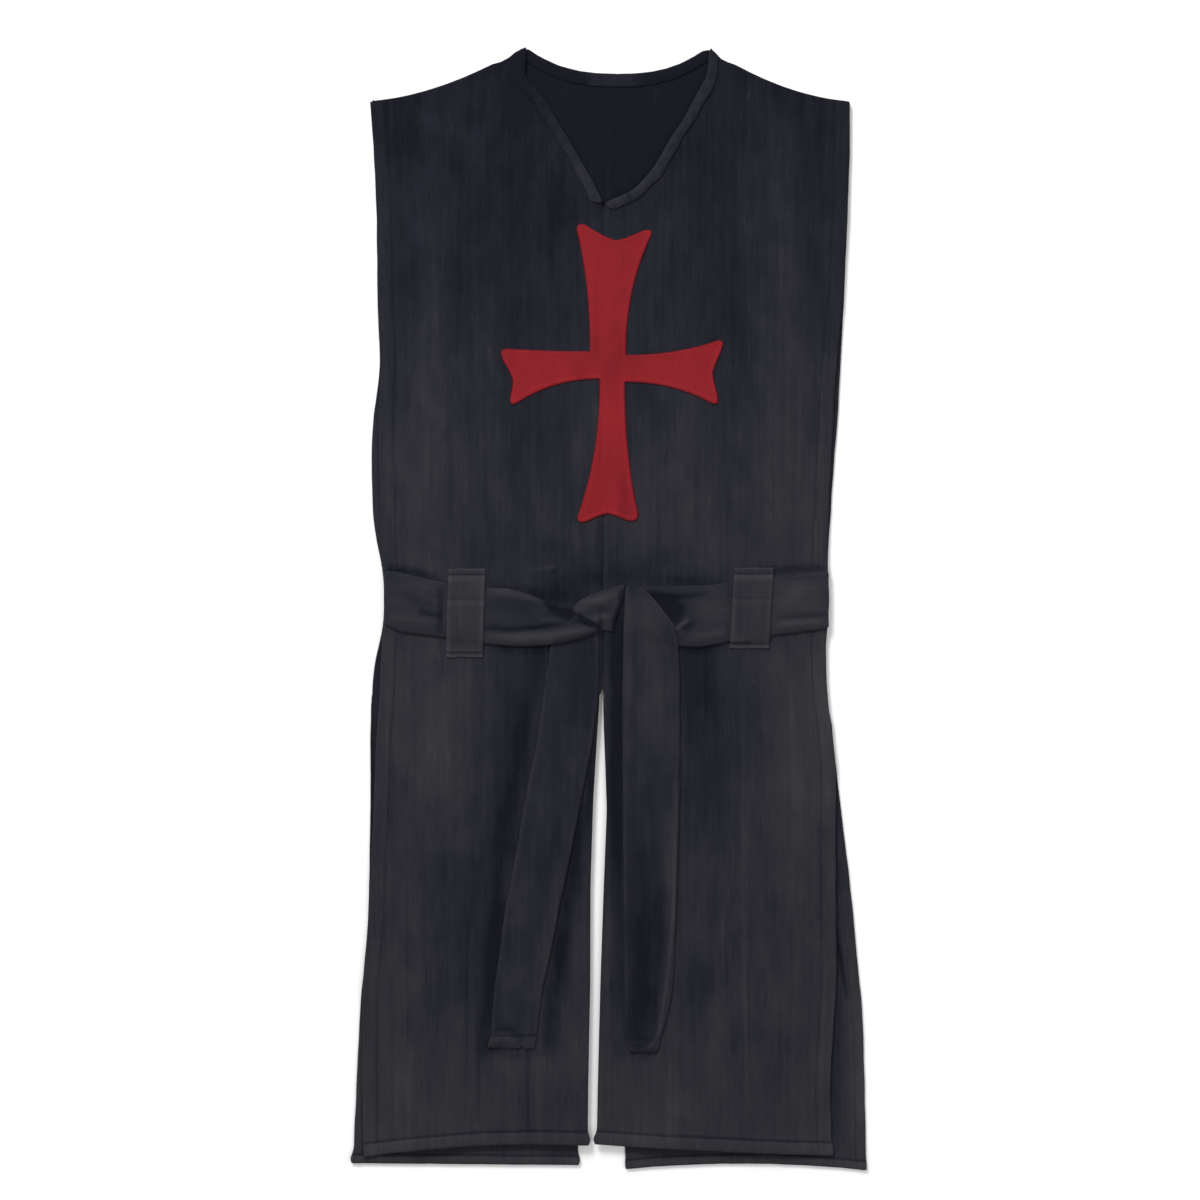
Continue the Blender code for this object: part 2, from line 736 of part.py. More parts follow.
def belt_back():
    """The belt's run under the back, flat on the floor."""
    start = BELT_SIDE_LEFT + BELT_FLAP + GAP
    end = BELT_SIDE_RIGHT - BELT_FLAP - GAP
    cells = 12
    flat = []
    for down in (BELT_TOP, BELT_BOTTOM):
        flat += [(mix(start, end, i / cells), down) for i in range(cells + 1)]
    faces = facing_up(flat, grid_faces(2, cells + 1))
    under = [(x, down, 0.0) for x, down in flat]
    upper = [(x, down, BELT_BACK_WALL) for x, down in flat]
    return shell("belt_back", "belt_black", under, upper, faces)


def tail_rows(stations):
    rows = []
    for first, second in zip(stations, stations[1:]):
        steps = max(1, round((second.down - first.down) / TAIL_STEP))
        for i in range(steps):
            rows.append(Tail(*(mix(a, b, i / steps) for a, b in zip(first, second))))
    rows.append(stations[-1])
    return rows


def tail(name, stations, need):
    """A hanging end of the belt, laid on the front with soft lengthwise waves and an end hem."""
    rows = tail_rows(stations)
    flat = []
    rise = []
    for row in rows:
        for j in range(TAIL_ACROSS + 1):
            v = j / TAIL_ACROSS
            flat.append((mix(row.left, row.right, v), row.down))
            hem = HEM_RISE if stations[-1].down - row.down < END_HEM else 0.0
            rise.append(hem + TAIL_WAVE_HEIGHT * (0.5 - 0.5 * math.cos(2.0 * math.pi * TAIL_WAVES * v)))
    faces = facing_up(flat, grid_faces(len(rows), TAIL_ACROSS + 1))
    under = with_height(flat, settle(flat, faces, need))
    upper = [(x, down, z + TAIL_WALL + r) for (x, down, z), r in zip(under, rise)]
    return shell(name, "belt_black", under, upper, faces)


def knot_wrap(need):
    """The strip that crosses over the knot, puffed up in its middle."""
    left, top, right, bottom = [Vector(corner) for corner in KNOT_CORNERS]
    flat = []
    puff = []
    for i in range(KNOT_CELLS + 1):
        u = i / KNOT_CELLS
        for j in range(KNOT_CELLS + 1):
            v = j / KNOT_CELLS
            place = left.lerp(top, u).lerp(bottom.lerp(right, u), v)
            flat.append((place.x, place.y))
            puff.append(KNOT_PUFF * math.sin(math.pi * u) * math.sin(math.pi * v))
    faces = facing_up(flat, grid_faces(KNOT_CELLS + 1, KNOT_CELLS + 1))
    heights = settle(flat, faces, need)
    under = [(x, down, z + p) for (x, down), z, p in zip(flat, heights, puff)]
    upper = [(x, down, z + KNOT_WALL) for x, down, z in under]
    return shell("knot_wrap", "belt_black", under, upper, faces)


def centre_on_origin():
    """Move every body so that the middle of the part's box is over the origin."""
    bodies = [obj for obj in bpy.data.objects if obj.type == "MESH"]
    xs = [vertex.co.x for obj in bodies for vertex in obj.data.vertices]
    ys = [vertex.co.y for obj in bodies for vertex in obj.data.vertices]
    middle = Vector(((min(xs) + max(xs)) / 2.0, (min(ys) + max(ys)) / 2.0, 0.0))
    for obj in bodies:
        for vertex in obj.data.vertices:
            vertex.co = vertex.co - middle


def build():
    clear_scene()
    belt_back()
    backs = [
        panel("back_left", BACK_LEFT, PEAK_LEFT_X, BACK_WALL, over_back_belt, no_air),
        panel("back_right", BACK_RIGHT, PEAK_RIGHT_X, BACK_WALL, over_back_belt, no_air),
    ]
    rolled_strip("neck_band_back", back_band_points(), clear_of(backs, 0.0))
    on_back = clear_of(backs, BACK_WALL + GAP)
    fronts = [
        panel("front_left", FRONT_LEFT, PEAK_LEFT_X, FRONT_WALL, on_back, front_air),
        panel("front_right", FRONT_RIGHT, PEAK_RIGHT_X, FRONT_WALL, on_back, front_air),
    ]
    on_front = clear_of(fronts, BACK_WALL + FRONT_WALL)
    on_edge = clear_of((), BACK_WALL + FRONT_WALL, fronts)
    rolled_strip("neck_band_left", strip_along(neck_edge(FRONT_LEFT), BAND_WIDTH), on_edge)
    rolled_strip("neck_band_right", strip_along(neck_edge(FRONT_RIGHT), -BAND_WIDTH), on_edge)
    cross(on_front)
    left_tail = tail("tail_left", TAIL_LEFT, on_front)
    over_tail = clear_of(fronts, BACK_WALL + FRONT_WALL, [left_tail])
    belts = [
        belt_run("belt_left", BELT_LEFT, BELT_SIDE_LEFT, over_tail),
        belt_run("belt_right", BELT_RIGHT, BELT_SIDE_RIGHT, over_tail),
    ]
    over_belts = clear_of(fronts, BACK_WALL + FRONT_WALL, [left_tail] + belts)
    knot_wrap(over_belts)
    tail("tail_right", TAIL_RIGHT, over_belts)
    for name, loop in LOOPS.items():
        belt_loop(name, loop, over_belts)
    centre_on_origin()


build()
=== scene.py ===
"""The medieval surcoat as it looks: slubby black cotton, a red cross, a tied belt, laid flat on a pale floor.

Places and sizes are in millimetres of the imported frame, with +Y toward the neck, until a mesh is made.
"""
import math
from collections import namedtuple

import bpy
import numpy as np
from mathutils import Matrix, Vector, noise
from mathutils.bvhtree import BVHTree


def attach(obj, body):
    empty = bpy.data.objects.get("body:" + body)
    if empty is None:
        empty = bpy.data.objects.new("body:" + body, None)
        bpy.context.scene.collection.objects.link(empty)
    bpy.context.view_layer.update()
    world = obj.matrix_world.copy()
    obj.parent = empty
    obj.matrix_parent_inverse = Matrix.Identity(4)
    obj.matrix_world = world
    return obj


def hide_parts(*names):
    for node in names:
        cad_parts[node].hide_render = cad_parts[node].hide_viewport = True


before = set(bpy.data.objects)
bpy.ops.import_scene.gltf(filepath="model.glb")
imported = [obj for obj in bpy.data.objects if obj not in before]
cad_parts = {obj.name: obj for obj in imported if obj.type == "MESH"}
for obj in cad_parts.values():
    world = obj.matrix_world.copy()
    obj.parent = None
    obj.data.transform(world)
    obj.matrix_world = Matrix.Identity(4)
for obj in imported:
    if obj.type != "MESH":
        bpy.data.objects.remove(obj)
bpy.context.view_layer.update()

MM = 0.001

# Camera over the middle of the photograph's frame
LENS_MM = 85.0
SENSOR_MM = 36.0
VIEW_WIDTH = 1200.0
VIEW_CENTRE = (-9.65, 8.0)
CLOTH_LEVEL = 6.0

# Floor and lights, in metres and watts: each square light has a name, a place, a side and a power
FLOOR_HALF = 6.0
FLOOR_LEVEL = -0.0008
KEY_LIGHT = ("key", (-1.3, 2.4, 2.1), 1.2, 120.0)
FILL_LIGHT = ("fill", (1.6, -0.9, 2.6), 2.0, 27.0)
ROOM_LIGHT = 0.48

# Walls of the cloth as it looks, and the least gap between layers
BACK_WALL = 1.0
FRONT_WALL = 0.9
BAND_WALL = 1.0
CROSS_WALL = 0.7
LOOP_WALL = 1.0
BELT_WALL = 1.7
TURN_WALL = 1.1
KNOT_WALL = 1.4
TAIL_WALL = 1.3
LAYER_GAP = 0.3

# How far the two seams of a belt loop are from its top and its bottom
LOOP_SEAMS = (5.5, 4.5)

# Usual length and width of a panel, from which the shares of its grid are worked out
PANEL_LENGTH = 1060.0
PANEL_WIDTH = 235.0

# Hems of the front and of the back, and the groove at their stitches
SIDE_HEM, END_HEM = 15.0, 13.0
BACK_SIDE_HEM, BACK_END_HEM = 11.0, 9.0
HEM_GROOVE = 0.5
GROOVE_WIDTH = 1.4

# Stitches
STITCH_PITCH = 4.2
STITCH_LENGTH = 2.9
STITCH_RADIUS = 0.28
STITCH_SIDES = 4

# Each panel: y of the hem's and the shoulder's corner at its outer and inner edge, how far its peak moves, a
# dip of the shoulder beside the neck, how far its two hem corners and its side low down stand out, and the
# places of its pressed lines from its side
Facts = namedtuple("Facts", "outer inner peak_shift dip flare swell lines")
PANELS = {
    "back_left": Facts((-553.0, 507.0), (-555.0, 529.5), 0.0, (-104.6, 3.2), (-2.2, 2.4), 0.0, ()),
    "back_right": Facts((-560.0, 506.5), (-559.0, 529.5), 0.0, (112.4, 3.8), (0.6, -0.8), 0.0, ()),
    "front_left": Facts((-547.5, 508.0), (-536.0, 560.0), 5.6, (-118.0, 1.2), (0.4, 2.4), 5.6,
                        (40.0, 105.6, 117.5, 170.0)),
    "front_right": Facts((-546.0, 506.0), (-535.0, 557.5), -2.6, (112.4, 3.8), (1.6, -3.4), 0.0,
                         (86.0, 108.0)),
}

# How far the hems hang below the solids, and how far the peaks and the back of the neck stand above them
FRONT_DROP = 1.4
BACK_DROP = 3.0
PEAK_RISE = 1.4
NECK_RISE = 5.4

# Top of the slit
SLIT_TOP = -82.5

# How far the left and right side edges swell outward along y
EDGE_Y = (-560, -460, -350, -240, -160, -110, -68, 50, 124, 196, 244, 300, 460, 508)
EDGE_SWELL = ((0.8, 1.2, 0.9, 1.0, 0.8, 1.2, 2.2, 2.6, 2.8, 2.8, -1.6, 0.4, 0.2, 1.6),
              (0.6, 1.2, 2.2, 1.8, 2.4, 0.8, 0.9, 1.7, 1.7, 1.2, 0.8, 0.5, 1.0, 0.6))

# Painted light over the panels along y: paler toward the hem, darker toward the neck where less light falls
RISE_Y = (-560, -480, -240, -60, 60, 150, 300, 400, 480, 560)
RISE_PAINTED_LIGHT = (0.42, 0.34, 0.17, 0.17, 0.14, 0.16, -0.06, -0.14, -0.30, -0.38)

# Feet of the left and right neck bands, ends of the back one, how far along the right one a stitch dents it,
# and a place that is on none of them
BAND_FEET = (406.0, 404.0)
BAND_BACK_X = (-84.8, 98.5)
BAND_DENT = 24.0
NOWHERE = -99.0

# Painted light and shade on the left and right neck bands along y: paler at their feet, darker toward the
# peaks
BAND_Y = (400, 440, 490, 520, 560)
BAND_PAINTED_SHADE = ((0.10, 0.04, -0.14, -0.42, -0.60), (0.10, 0.06, 0.04, 0.00, -0.12))

# The cross: corners of its middle, clockwise from the upper left, then for each arm its direction, its two
# tips and the depth of its notch, how sharply the arms flare, and how often their tips are smoothed
CROSS_MIDDLE = ((-20.0, 256.8), (16.6, 253.2), (15.4, 225.6), (-10.2, 228.6))
CROSS_ARMS = (
    (90.0, (-37.0, 392.5), (48.5, 386.0), 21.5),
    (0.0, (120.5, 272.5), (114.0, 197.0), 14.0),
    (-90.0, (32.5, 79.0), (-38.0, 77.0), 16.0),
    (180.0, (-104.0, 196.5), (-116.0, 260.5), 13.0),
)
CROSS_FLARE = 2.2
TIP_PASSES = 60

# Edges of the strip over the knot, from its left tip, and the level that it stays below
KNOT_TOP = ((-36.9, 1.0), (-30, 7.5), (-22, 12), (-8, 17.5), (4, 21), (14, 23.3))
KNOT_BOTTOM = ((-36.6, -2.6), (-31, -9), (-22, -15), (-12, -20.5), (-4, -22.6), (2.5, -22.8))
KNOT_RIGHT = ((14, 23.3), (13.6, 10), (10, 0), (6.5, -9), (4.2, -16), (2.5, -22.8))
KNOT_LEVEL = 20.7

# Where the belt's front runs start at the sides and end at the knot
BELT_RUNS = {"belt_left": (-223.2, -12.0), "belt_right": (216.9, 30.8)}

# The belt's hidden run across the back: its ends, its edges and its height
BELT_BACK_X = (-210.6, 204.3)
BELT_BACK_Y = (35.8, -19.8)
BELT_BACK_Z = 1.15

# Noise in the cotton: stretch along x and y, size in millimetres, detail, and what it adds to the seed
COTTON_NOISE = {
    "streak": (1.0, 0.035, 5.5, 3.0, 0.0),
    "fine": (1.0, 0.08, 1.9, 2.0, 3.0),
    "slub": (1.0, 0.06, 2.0, 1.0, 5.0),
    "gap": (1.0, 0.05, 2.4, 1.0, 6.0),
    "weft": (0.07, 1.0, 1.6, 1.0, 7.0),
    "blotch": (1.0, 0.6, 62.0, 3.0, 11.0),
    "patch": (1.0, 0.45, 17.0, 3.0, 13.0),
}

# Colours of the cloth, darkest to palest: its dye and wear, and the ends that painted shade and highlights
# reach
BLACK = ((0.004, 0.0043, 0.0088), (0.0117, 0.0121, 0.019), (0.026, 0.025, 0.03), (0.042, 0.0394, 0.0442))
RED = ((0.11, 0.0058, 0.0092), (0.185, 0.0101, 0.0144), (0.25, 0.0136, 0.0188), (0.3, 0.02, 0.026))

# Soft ridges and troughs of the cloth: a height in millimetres, the width to the left and right of a path,
# and the path
CREASES = {"front_left": (
    (-0.9, 13, 9, (-66, -40), (-82, -100), (-97, -170), (-106, -220), (-112, -300), (-122, -380),
     (-132, -465)),
    (-0.9, 9, 9, (-14, -80), (-34, -210), (-60, -420)),
    (0.6, 2.5, 4, (-202, -270), (-203, -380), (-201, -500)),
    (-0.5, 5, 4, (-142, -310), (-143, -490)),
    (-0.5, 3, 3, (-131, -440), (-131, -520)),
    (-0.5, 3, 4, (-82, -440), (-82, -525)),
    (1.1, 14, 24, (-160, -70), (-158, -200), (-170, -330)),
    (-1.3, 8, 12, (-6, 18), (-30, 44), (-66, 66)),
    (-0.9, 6, 10, (-6, 26), (-12, 90)),
    (-1.2, 5, 4, (-222, 40), (-195, 36), (-168, 28)),
    (0.6, 2.5, 2.5, (-78, 39), (-60, 40), (-44, 38)),
    (0.8, 10, 14, (-40, 45), (-75, 110), (-90, 220)),
    (0.9, 14, 18, (-182, 460), (-176, 300), (-180, 80)),
    (-0.8, 12, 10, (-140, 440), (-146, 260), (-132, 80)),
    (-0.6, 9, 9, (-96, 330), (-98, 200), (-86, 80)),
    (0.6, 8, 8, (-206, 500), (-150, 470), (-116, 474)),
    (-0.5, 7, 7, (-60, 380), (-30, 392)),
    (0.7, 10, 16, (-40, -150), (-60, -330), (-66, -500)),
), "front_right": (
    (-0.9, 6, 6, (8, -35), (7, -200), (8, -420)),
    (-0.7, 18, 14, (88, -45), (92, -130), (98, -230)),
    (0.7, 3, 4, (135, -92), (135, -300), (137, -520)),
    (0.5, 2, 2, (113, -300), (113, -365)),
    (-0.5, 4, 4, (127, -90), (128, -300), (130, -520)),
    (-1.0, 9, 8, (8, 25), (40, 42), (88, 58)),
    (-0.7, 7, 7, (4, 28), (14, 95)),
    (-1.0, 4, 5, (150, 38), (185, 42), (214, 43)),
    (0.8, 12, 12, (60, 100), (80, 220), (70, 330)),
    (-0.8, 11, 12, (120, 430), (128, 280), (118, 90)),
    (0.9, 16, 14, (168, 460), (176, 300), (160, 80)),
    (-0.6, 10, 10, (205, 400), (208, 240), (200, 100)),
    (-0.8, 10, 12, (200, -60), (205, -250), (196, -480)),
    (0.6, 8, 10, (60, -440), (64, -530)),
    (-0.6, 7, 7, (170, -420), (168, -530)),
), "back_right": (
    (-0.4, 3, 3, (222, -300), (231, -350), (240, -400)),
), "belt_left": (
    (-0.9, 4, 9, (-225, 14), (-190, 6), (-168, -2)),
    (-1.4, 3, 5, (-192, -3), (-166, -8)),
    (0.7, 6, 6, (-222, -8), (-196, -14), (-170, -18)),
    (-1.8, 3, 3, (-126, -21), (-100, -23), (-68, -21), (-40, -15), (-28, -12)),
    (2.0, 6, 6, (-126, -30), (-90, -31), (-60, -29), (-24, -23), (-8, -20)),
    (1.4, 5, 5, (-124, 16), (-100, 14), (-78, 9), (-66, 3)),
    (1.0, 3, 2, (-67, 6), (-64, -2), (-60, -8)),
    (-2.8, 9, 7, (-58, 2), (-46, -4), (-34, -10)),
    (-0.6, 6, 6, (-120, -4), (-92, -6), (-72, -8)),
), "belt_right": (
    (0.6, 10, 10, (218, 14), (190, 10), (166, 6)),
    (-1.2, 3, 2.5, (220, -7), (190, -9), (166, -10)),
    (1.0, 4, 4, (220, -14), (190, -16), (166, -18)),
    (1.8, 6, 5, (118, 18), (90, 18), (60, 18), (34, 20)),
    (-3.0, 9, 7, (34, 9), (56, 4), (66, -12)),
    (1.8, 2.3, 2.3, (66, -23), (72, -17), (79, -12)),
    (-1.0, 3, 4, (74, -23), (82, -18), (90, -13)),
    (1.0, 7, 7, (118, 12), (100, 6), (84, -2)),
    (1.0, 5, 5, (118, -24), (98, -30), (74, -35)),
    (-0.5, 4, 4, (116, -6), (104, -8), (94, -6)),
), "tail_left": (
    (0.9, 6, 9, (-20, -50), (-36, -180), (-62, -330), (-84, -430)),
    (-0.8, 5, 6, (-44, -60), (-62, -200), (-92, -350), (-106, -430)),
    (0.6, 4, 4, (-60, -160), (-76, -260), (-100, -380)),
    (1.3, 4, 4, (-124, -436), (-110, -426), (-94, -433)),
    (-0.9, 3, 3, (-120, -424), (-104, -419), (-92, -424)),
    (-0.5, 6, 6, (-74, -300), (-88, -330)),
), "tail_right": (
    (0.9, 4, 5, (20, 15), (22, -60), (20, -160)),
    (0.7, 8, 8, (36, 10), (42, -40), (44, -110)),
    (-1.4, 5, 2.5, (52, -270), (52, -345), (44, -415)),
    (1.6, 4, 4, (62, -200), (60, -330), (49, -425)),
    (-0.6, 6, 6, (46, -60), (44, -180), (46, -300)),
    (1.0, 3, 3, (20, -430), (34, -440), (48, -432)),
    (-0.7, 8, 8, (28, -140), (30, -280), (28, -400)),
), "knot_wrap": (
    (-1.6, 1.8, 1.8, (-33, -6), (-25, -11), (-15, -16), (-8, -19)),
    (1.0, 4, 4, (-30, 2), (-14, 7), (4, 12), (12, 15)),
    (-0.8, 3, 3, (-26, -5), (-10, -2), (4, 0)),
    (-0.7, 3, 3, (-4, 20), (2, 8), (4, -4)),
    (0.8, 3, 3, (-18, -12), (-6, -10), (2, -12)),
)}

# Painted shade in the folds and beside what lies on the cloth, and painted highlights on pressed creases,
# rims and
# fold edges: a tone, and the same widths and path
PAINTED_SHADING = {"front_left": (
    (-0.26, 10, 9, (-68, -40), (-82, -100), (-97, -170), (-106, -220), (-112, -300), (-122, -380),
     (-132, -465)),
    (-0.44, 10, 8, (-112, -290), (-120, -380), (-127, -450)),
    (-0.3, 7, 9, (-44, -320), (-56, -380), (-66, -450)),
    (-0.46, 9, 11, (-6, -90), (-22, -190), (-36, -270), (-50, -350), (-62, -450)),
    (-0.3, 5, 5, (-128, -436), (-104, -446), (-70, -447)),
    (-0.6, 4, 4, (-224, 39), (-196, 35), (-170, 28)),
    (-0.35, 4, 3, (-120, 22), (-84, 18), (-64, 12)),
    (-0.4, 3, 3, (-170, 30), (-169, 4), (-170, -24)),
    (-0.35, 5, 5, (-122, -39), (-80, -42), (-20, -32)),
    (0.3, 1.6, 1.6, (-78, 40), (-60, 41), (-44, 39)),
    (-0.25, 1.4, 1.4, (-78, 37), (-60, 38), (-44, 36)),
    (-0.3, 1.2, 1.2, (-202, -270), (-203, -380), (-201, -500)),
    (-0.16, 2.0, 2.0, (-142, -300), (-143, -490)),
    (-0.22, 1.2, 1.2, (-131, -430), (-131, -520)),
    (-0.2, 1.2, 1.2, (-82, -430), (-82, -525)),
    (0.1, 1.2, 1.2, (-178, 130), (-178, 60), (-179, 30)),
    (-0.1, 4, 4, (-60, 440), (-58, 330)),
), "front_right": (
    (-0.5, 6, 6, (9, 16), (8, -30), (8, -150), (11, -300), (12, -455)),
    (-0.12, 6, 10, (74, -42), (78, -110), (76, -200)),
    (-0.36, 8, 6, (3, -50), (2, -150), (2, -250)),
    (-0.2, 4, 4, (12, -444), (30, -450), (52, -440)),
    (-0.3, 4, 4, (118, 24), (80, 28), (36, 28)),
    (-0.55, 3, 3, (154, 36), (185, 39), (216, 40)),
    (-0.3, 3, 3, (164, -26), (190, -22), (216, -18)),
    (-0.45, 4, 4, (68, -41), (90, -42), (118, -36)),
    (0.2, 1.1, 1.1, (135, -100), (135, -300), (137, -520)),
    (-0.2, 1.2, 1.2, (139, -350), (139, -430)),
    (0.22, 1.1, 1.1, (113, -305), (113, -365)),
    (0.22, 1.1, 1.1, (220, -420), (221, -530)),
    (0.25, 1.0, 1.0, (58, -510), (58, -530)),
    (0.6, 0.9, 0.9, (138, 525), (139, 505)),
    (-0.1, 4, 4, (60, 380), (70, 300)),
), "back_left": (
    (-0.5, 6, 6, (-229, 0), (-237, -90), (-240, -160), (-241, -300), (-243, -420), (-242, -500),
     (-241, -556)),
), "back_right": (
    (-0.44, 8, 8, (218, 0), (219, -110), (221, -220), (223, -320), (225, -440), (227, -556)),
    (-0.6, 2.0, 2.0, (224, -305), (231, -350), (238, -392)),
), "belt_left": (
    (0.1, 4, 4, (-226, 30), (-196, 26), (-170, 20)),
    (-0.4, 3, 3, (-192, -2), (-180, -6), (-166, -8)),
    (-0.16, 7, 7, (-206, 12), (-190, 6), (-176, 4)),
    (-0.45, 3, 3, (-170, 22), (-169, 0), (-170, -26)),
    (-0.34, 2.6, 2.6, (-126, -20), (-100, -22), (-70, -19), (-48, -13)),
    (0.34, 5, 5, (-126, -30), (-96, -32), (-62, -29), (-30, -23), (-8, -20)),
    (0.3, 3, 3, (-70, -11), (-52, -13), (-38, -15)),
    (0.16, 3, 3, (-122, 18), (-100, 15), (-80, 11), (-68, 6)),
    (-0.85, 9, 8, (-64, 8), (-50, 2), (-36, -8)),
    (-0.8, 1.8, 1.8, (-34, -12), (-26, -15), (-16, -19)),
    (-0.6, 6, 6, (-68, 12), (-50, 10), (-34, 6)),
), "belt_right": (
    (-0.24, 2.2, 2.2, (218, -7), (190, -9), (166, -10)),
    (0.16, 4, 4, (218, -14), (190, -15), (166, -18)),
    (-0.22, 5, 5, (96, 21), (60, 20), (28, 22)),
    (-0.5, 4, 3, (32, 12), (50, 10), (80, 12), (100, 16)),
    (-0.85, 9, 7, (34, 8), (50, 4), (60, -4), (68, -18)),
    (-0.55, 7, 5, (54, 6), (66, 2), (76, -4)),
    (0.5, 1.8, 1.8, (66, -22), (72, -16), (79, -11)),
    (-0.35, 3, 4, (74, -21), (80, -18), (86, -14)),
    (0.24, 9, 7, (118, 4), (100, 0), (90, -8)),
    (0.22, 6, 5, (80, -28), (98, -27), (116, -24)),
    (0.12, 2, 2, (72, -37), (96, -37), (118, -32)),
), "tail_left": (
    (-0.3, 18, 18, (-30, -30), (-24, -70), (-34, -120)),
    (0.14, 12, 8, (-60, -160), (-78, -260), (-100, -380), (-106, -425)),
    (0.1, 5, 5, (-20, -120), (-36, -200), (-56, -300), (-72, -400)),
    (-0.12, 5, 5, (-48, -200), (-66, -290), (-84, -380)),
    (0.3, 3, 3, (-122, -438), (-108, -428), (-94, -434)),
    (-0.26, 2, 2, (-118, -424), (-104, -420), (-94, -424)),
), "tail_right": (
    (0.14, 3, 3, (18, 15), (19, -60), (17, -200)),
    (0.26, 16, 14, (36, 20), (42, -40), (46, -150)),
    (-0.3, 15, 13, (38, -230), (36, -330), (32, -400), (29, -462)),
    (-0.24, 16, 14, (33, -340), (29, -400), (26, -450), (24, -490)),
    (-0.12, 7, 2, (48, -250), (50, -340), (42, -420)),
    (0.14, 4, 4, (57, -230), (56, -330), (48, -400)),
    (0.55, 1.6, 1.6, (66, -150), (64, -300), (58, -370), (50, -420), (42, -438)),
    (0.34, 1.6, 1.6, (46, -436), (32, -442), (18, -440)),
    (0.1, 4, 4, (60, -40), (64, -110), (66, -200)),
    (0.06, 8, 8, (24, -120), (26, -170), (22, -220)),
), "knot_wrap": (
    (-0.95, 1.7, 1.7, (-33, -6), (-26, -11), (-16, -16), (-9, -19)),
    (0.2, 5, 4, (-36, 0), (-24, 4), (-6, 9), (8, 14)),
    (-0.22, 3, 3, (-26, -5), (-12, -3), (2, -2)),
    (0.26, 4, 4, (-16, -10), (-8, -9), (0, -10)),
    (-0.75, 3, 3, (13, 20), (11, 4), (5, -12), (3, -22)),
    (-0.2, 3, 3, (-22, 13), (-8, 19), (6, 23)),
)}

# Paler and darker areas, mostly painted light and painted shade with some uneven dye: a place, how far it
# reaches across and along, and its tone
SHADE_AND_DYE_PATCHES = {"front_left": (
    (-100, 360, 35, 110, -0.16), (-50, 330, 26, 90, -0.12), (-215, 490, 30, 40, -0.1),
    (-178, 468, 16, 60, 0.12), (-200, 130, 34, 90, 0.08), (-76, 150, 30, 100, -0.2),
    (-20, 36, 60, 12, -0.14), (-185, -110, 42, 100, 0.24), (-95, -180, 30, 150, -0.24),
    (-150, -300, 36, 90, -0.24), (-44, -50, 46, 24, -0.34), (-12, -50, 9, 34, -0.3),
    (-52, 12, 26, 10, -0.62), (-18, 28, 36, 9, -0.3), (-212, -10, 14, 10, -0.15),
    (-216, -300, 20, 150, 0.16), (-60, -500, 60, 40, -0.1),
), "front_right": (
    (150, 440, 70, 60, 0.02), (100, 400, 20, 60, -0.1), (190, 150, 40, 130, 0.14),
    (60, 30, 50, 12, -0.22), (8, 36, 26, 18, -0.22), (6, -30, 12, 44, -0.5), (92, -64, 20, 50, -0.28),
    (112, -150, 26, 80, -0.15), (200, -140, 38, 150, 0.42), (40, -240, 34, 160, -0.12),
    (130, -330, 36, 50, -0.16), (158, -432, 32, 20, -0.18), (90, -365, 18, 60, -0.18),
    (168, -472, 14, 20, -0.16), (196, -330, 30, 60, 0.1), (70, -500, 70, 36, 0.14),
), "back_left": (
    (0, 470, 110, 80, -0.3), (-256, -500, 8, 90, 0.2),
), "back_right": (
    (0, 470, 110, 80, -0.3), (250, -460, 11, 110, 0.46),
), "belt_left": (
    (-200, 4, 40, 34, 0.16), (-100, 2, 32, 12, -0.2), (-205, -16, 26, 10, 0.1),
), "belt_right": (
    (190, 6, 40, 30, 0.36), (104, -8, 14, 22, 0.12),
)}


# Reading the frame

def node_edges(name):
    """End points of a CAD node's edges, in millimetres."""
    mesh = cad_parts[name].data
    points = np.array([vertex.co for vertex in mesh.vertices]) / MM
    return points[np.array([edge.vertices for edge in mesh.edges])]


def span(edges, axis, value):
    """Least and greatest place along the other axis where a node crosses a line in plan."""
    a, b = edges[:, 0, :2], edges[:, 1, :2]
    crossing = (a[:, axis] - value) * (b[:, axis] - value) < 0.0
    a, b = a[crossing], b[crossing]
    t = (value - a[:, axis]) / (b[:, axis] - a[:, axis])
    places = a[:, 1 - axis] + t * (b[:, 1 - axis] - a[:, 1 - axis])
    return places.min(), places.max()


def spans(name, axis, values, margin=0.05):
    """Both outlines of a node at places along an axis, as two arrays."""
    edges = node_edges(name)
    low, high = edges[:, :, axis].min() + margin, edges[:, :, axis].max() - margin
    return np.array([span(edges, axis, min(high, max(low, value))) for value in values]).T


def soft_spans(name, axis, values, passes, amount, size, seed):
    """Both outlines of a node, smoothed and a little uneven."""
    return [smooth_line(line, passes) + amount * grain(values, 0.0, size, 1.0, seed + more)
            for line, more in zip(spans(name, axis, values), (0.0, 3.0))]


def tree_of(obj):
    points = [vertex.co / MM for vertex in obj.data.vertices]
    return BVHTree.FromPolygons(points, [tuple(face.vertices) for face in obj.data.polygons])


def tops(trees, x, y, reach=0.0):
    """Heights of the highest surface under each place of a grid, or as far as a reach from it."""
    out = np.zeros(x.shape)
    down = Vector((0.0, 0.0, -1.0))
    around = ((0.0, 0.0), (reach, 0.0), (-reach, 0.0), (0.0, reach), (0.0, -reach))
    for index in np.ndindex(x.shape):
        for tree in trees:
            for dx, dy in around if reach else around[:1]:
                hit = tree.ray_cast(Vector((x[index] + dx, y[index] + dy, 100.0)), down)[0]
                if hit is not None and hit.z > out[index]:
                    out[index] = hit.z
    return out


def laid(x, y, floor, relief, wall, reach, passes, least):
    """Heights of a cloth with its relief, laid softly over what is under it."""
    bare = tops(floor, x, y)
    soft = np.maximum(smooth(tops(floor, x, y, reach), passes), bare)
    return np.maximum(soft + LAYER_GAP + wall + relief, bare + least + wall)


# Number fields over a grid

def smooth(field, passes):
    for _ in range(passes):
        wide = np.pad(field, 1, mode="edge")
        field = (4.0 * field + wide[:-2, 1:-1] + wide[2:, 1:-1] + wide[1:-1, :-2] + wide[1:-1, 2:]) / 8.0
    return field


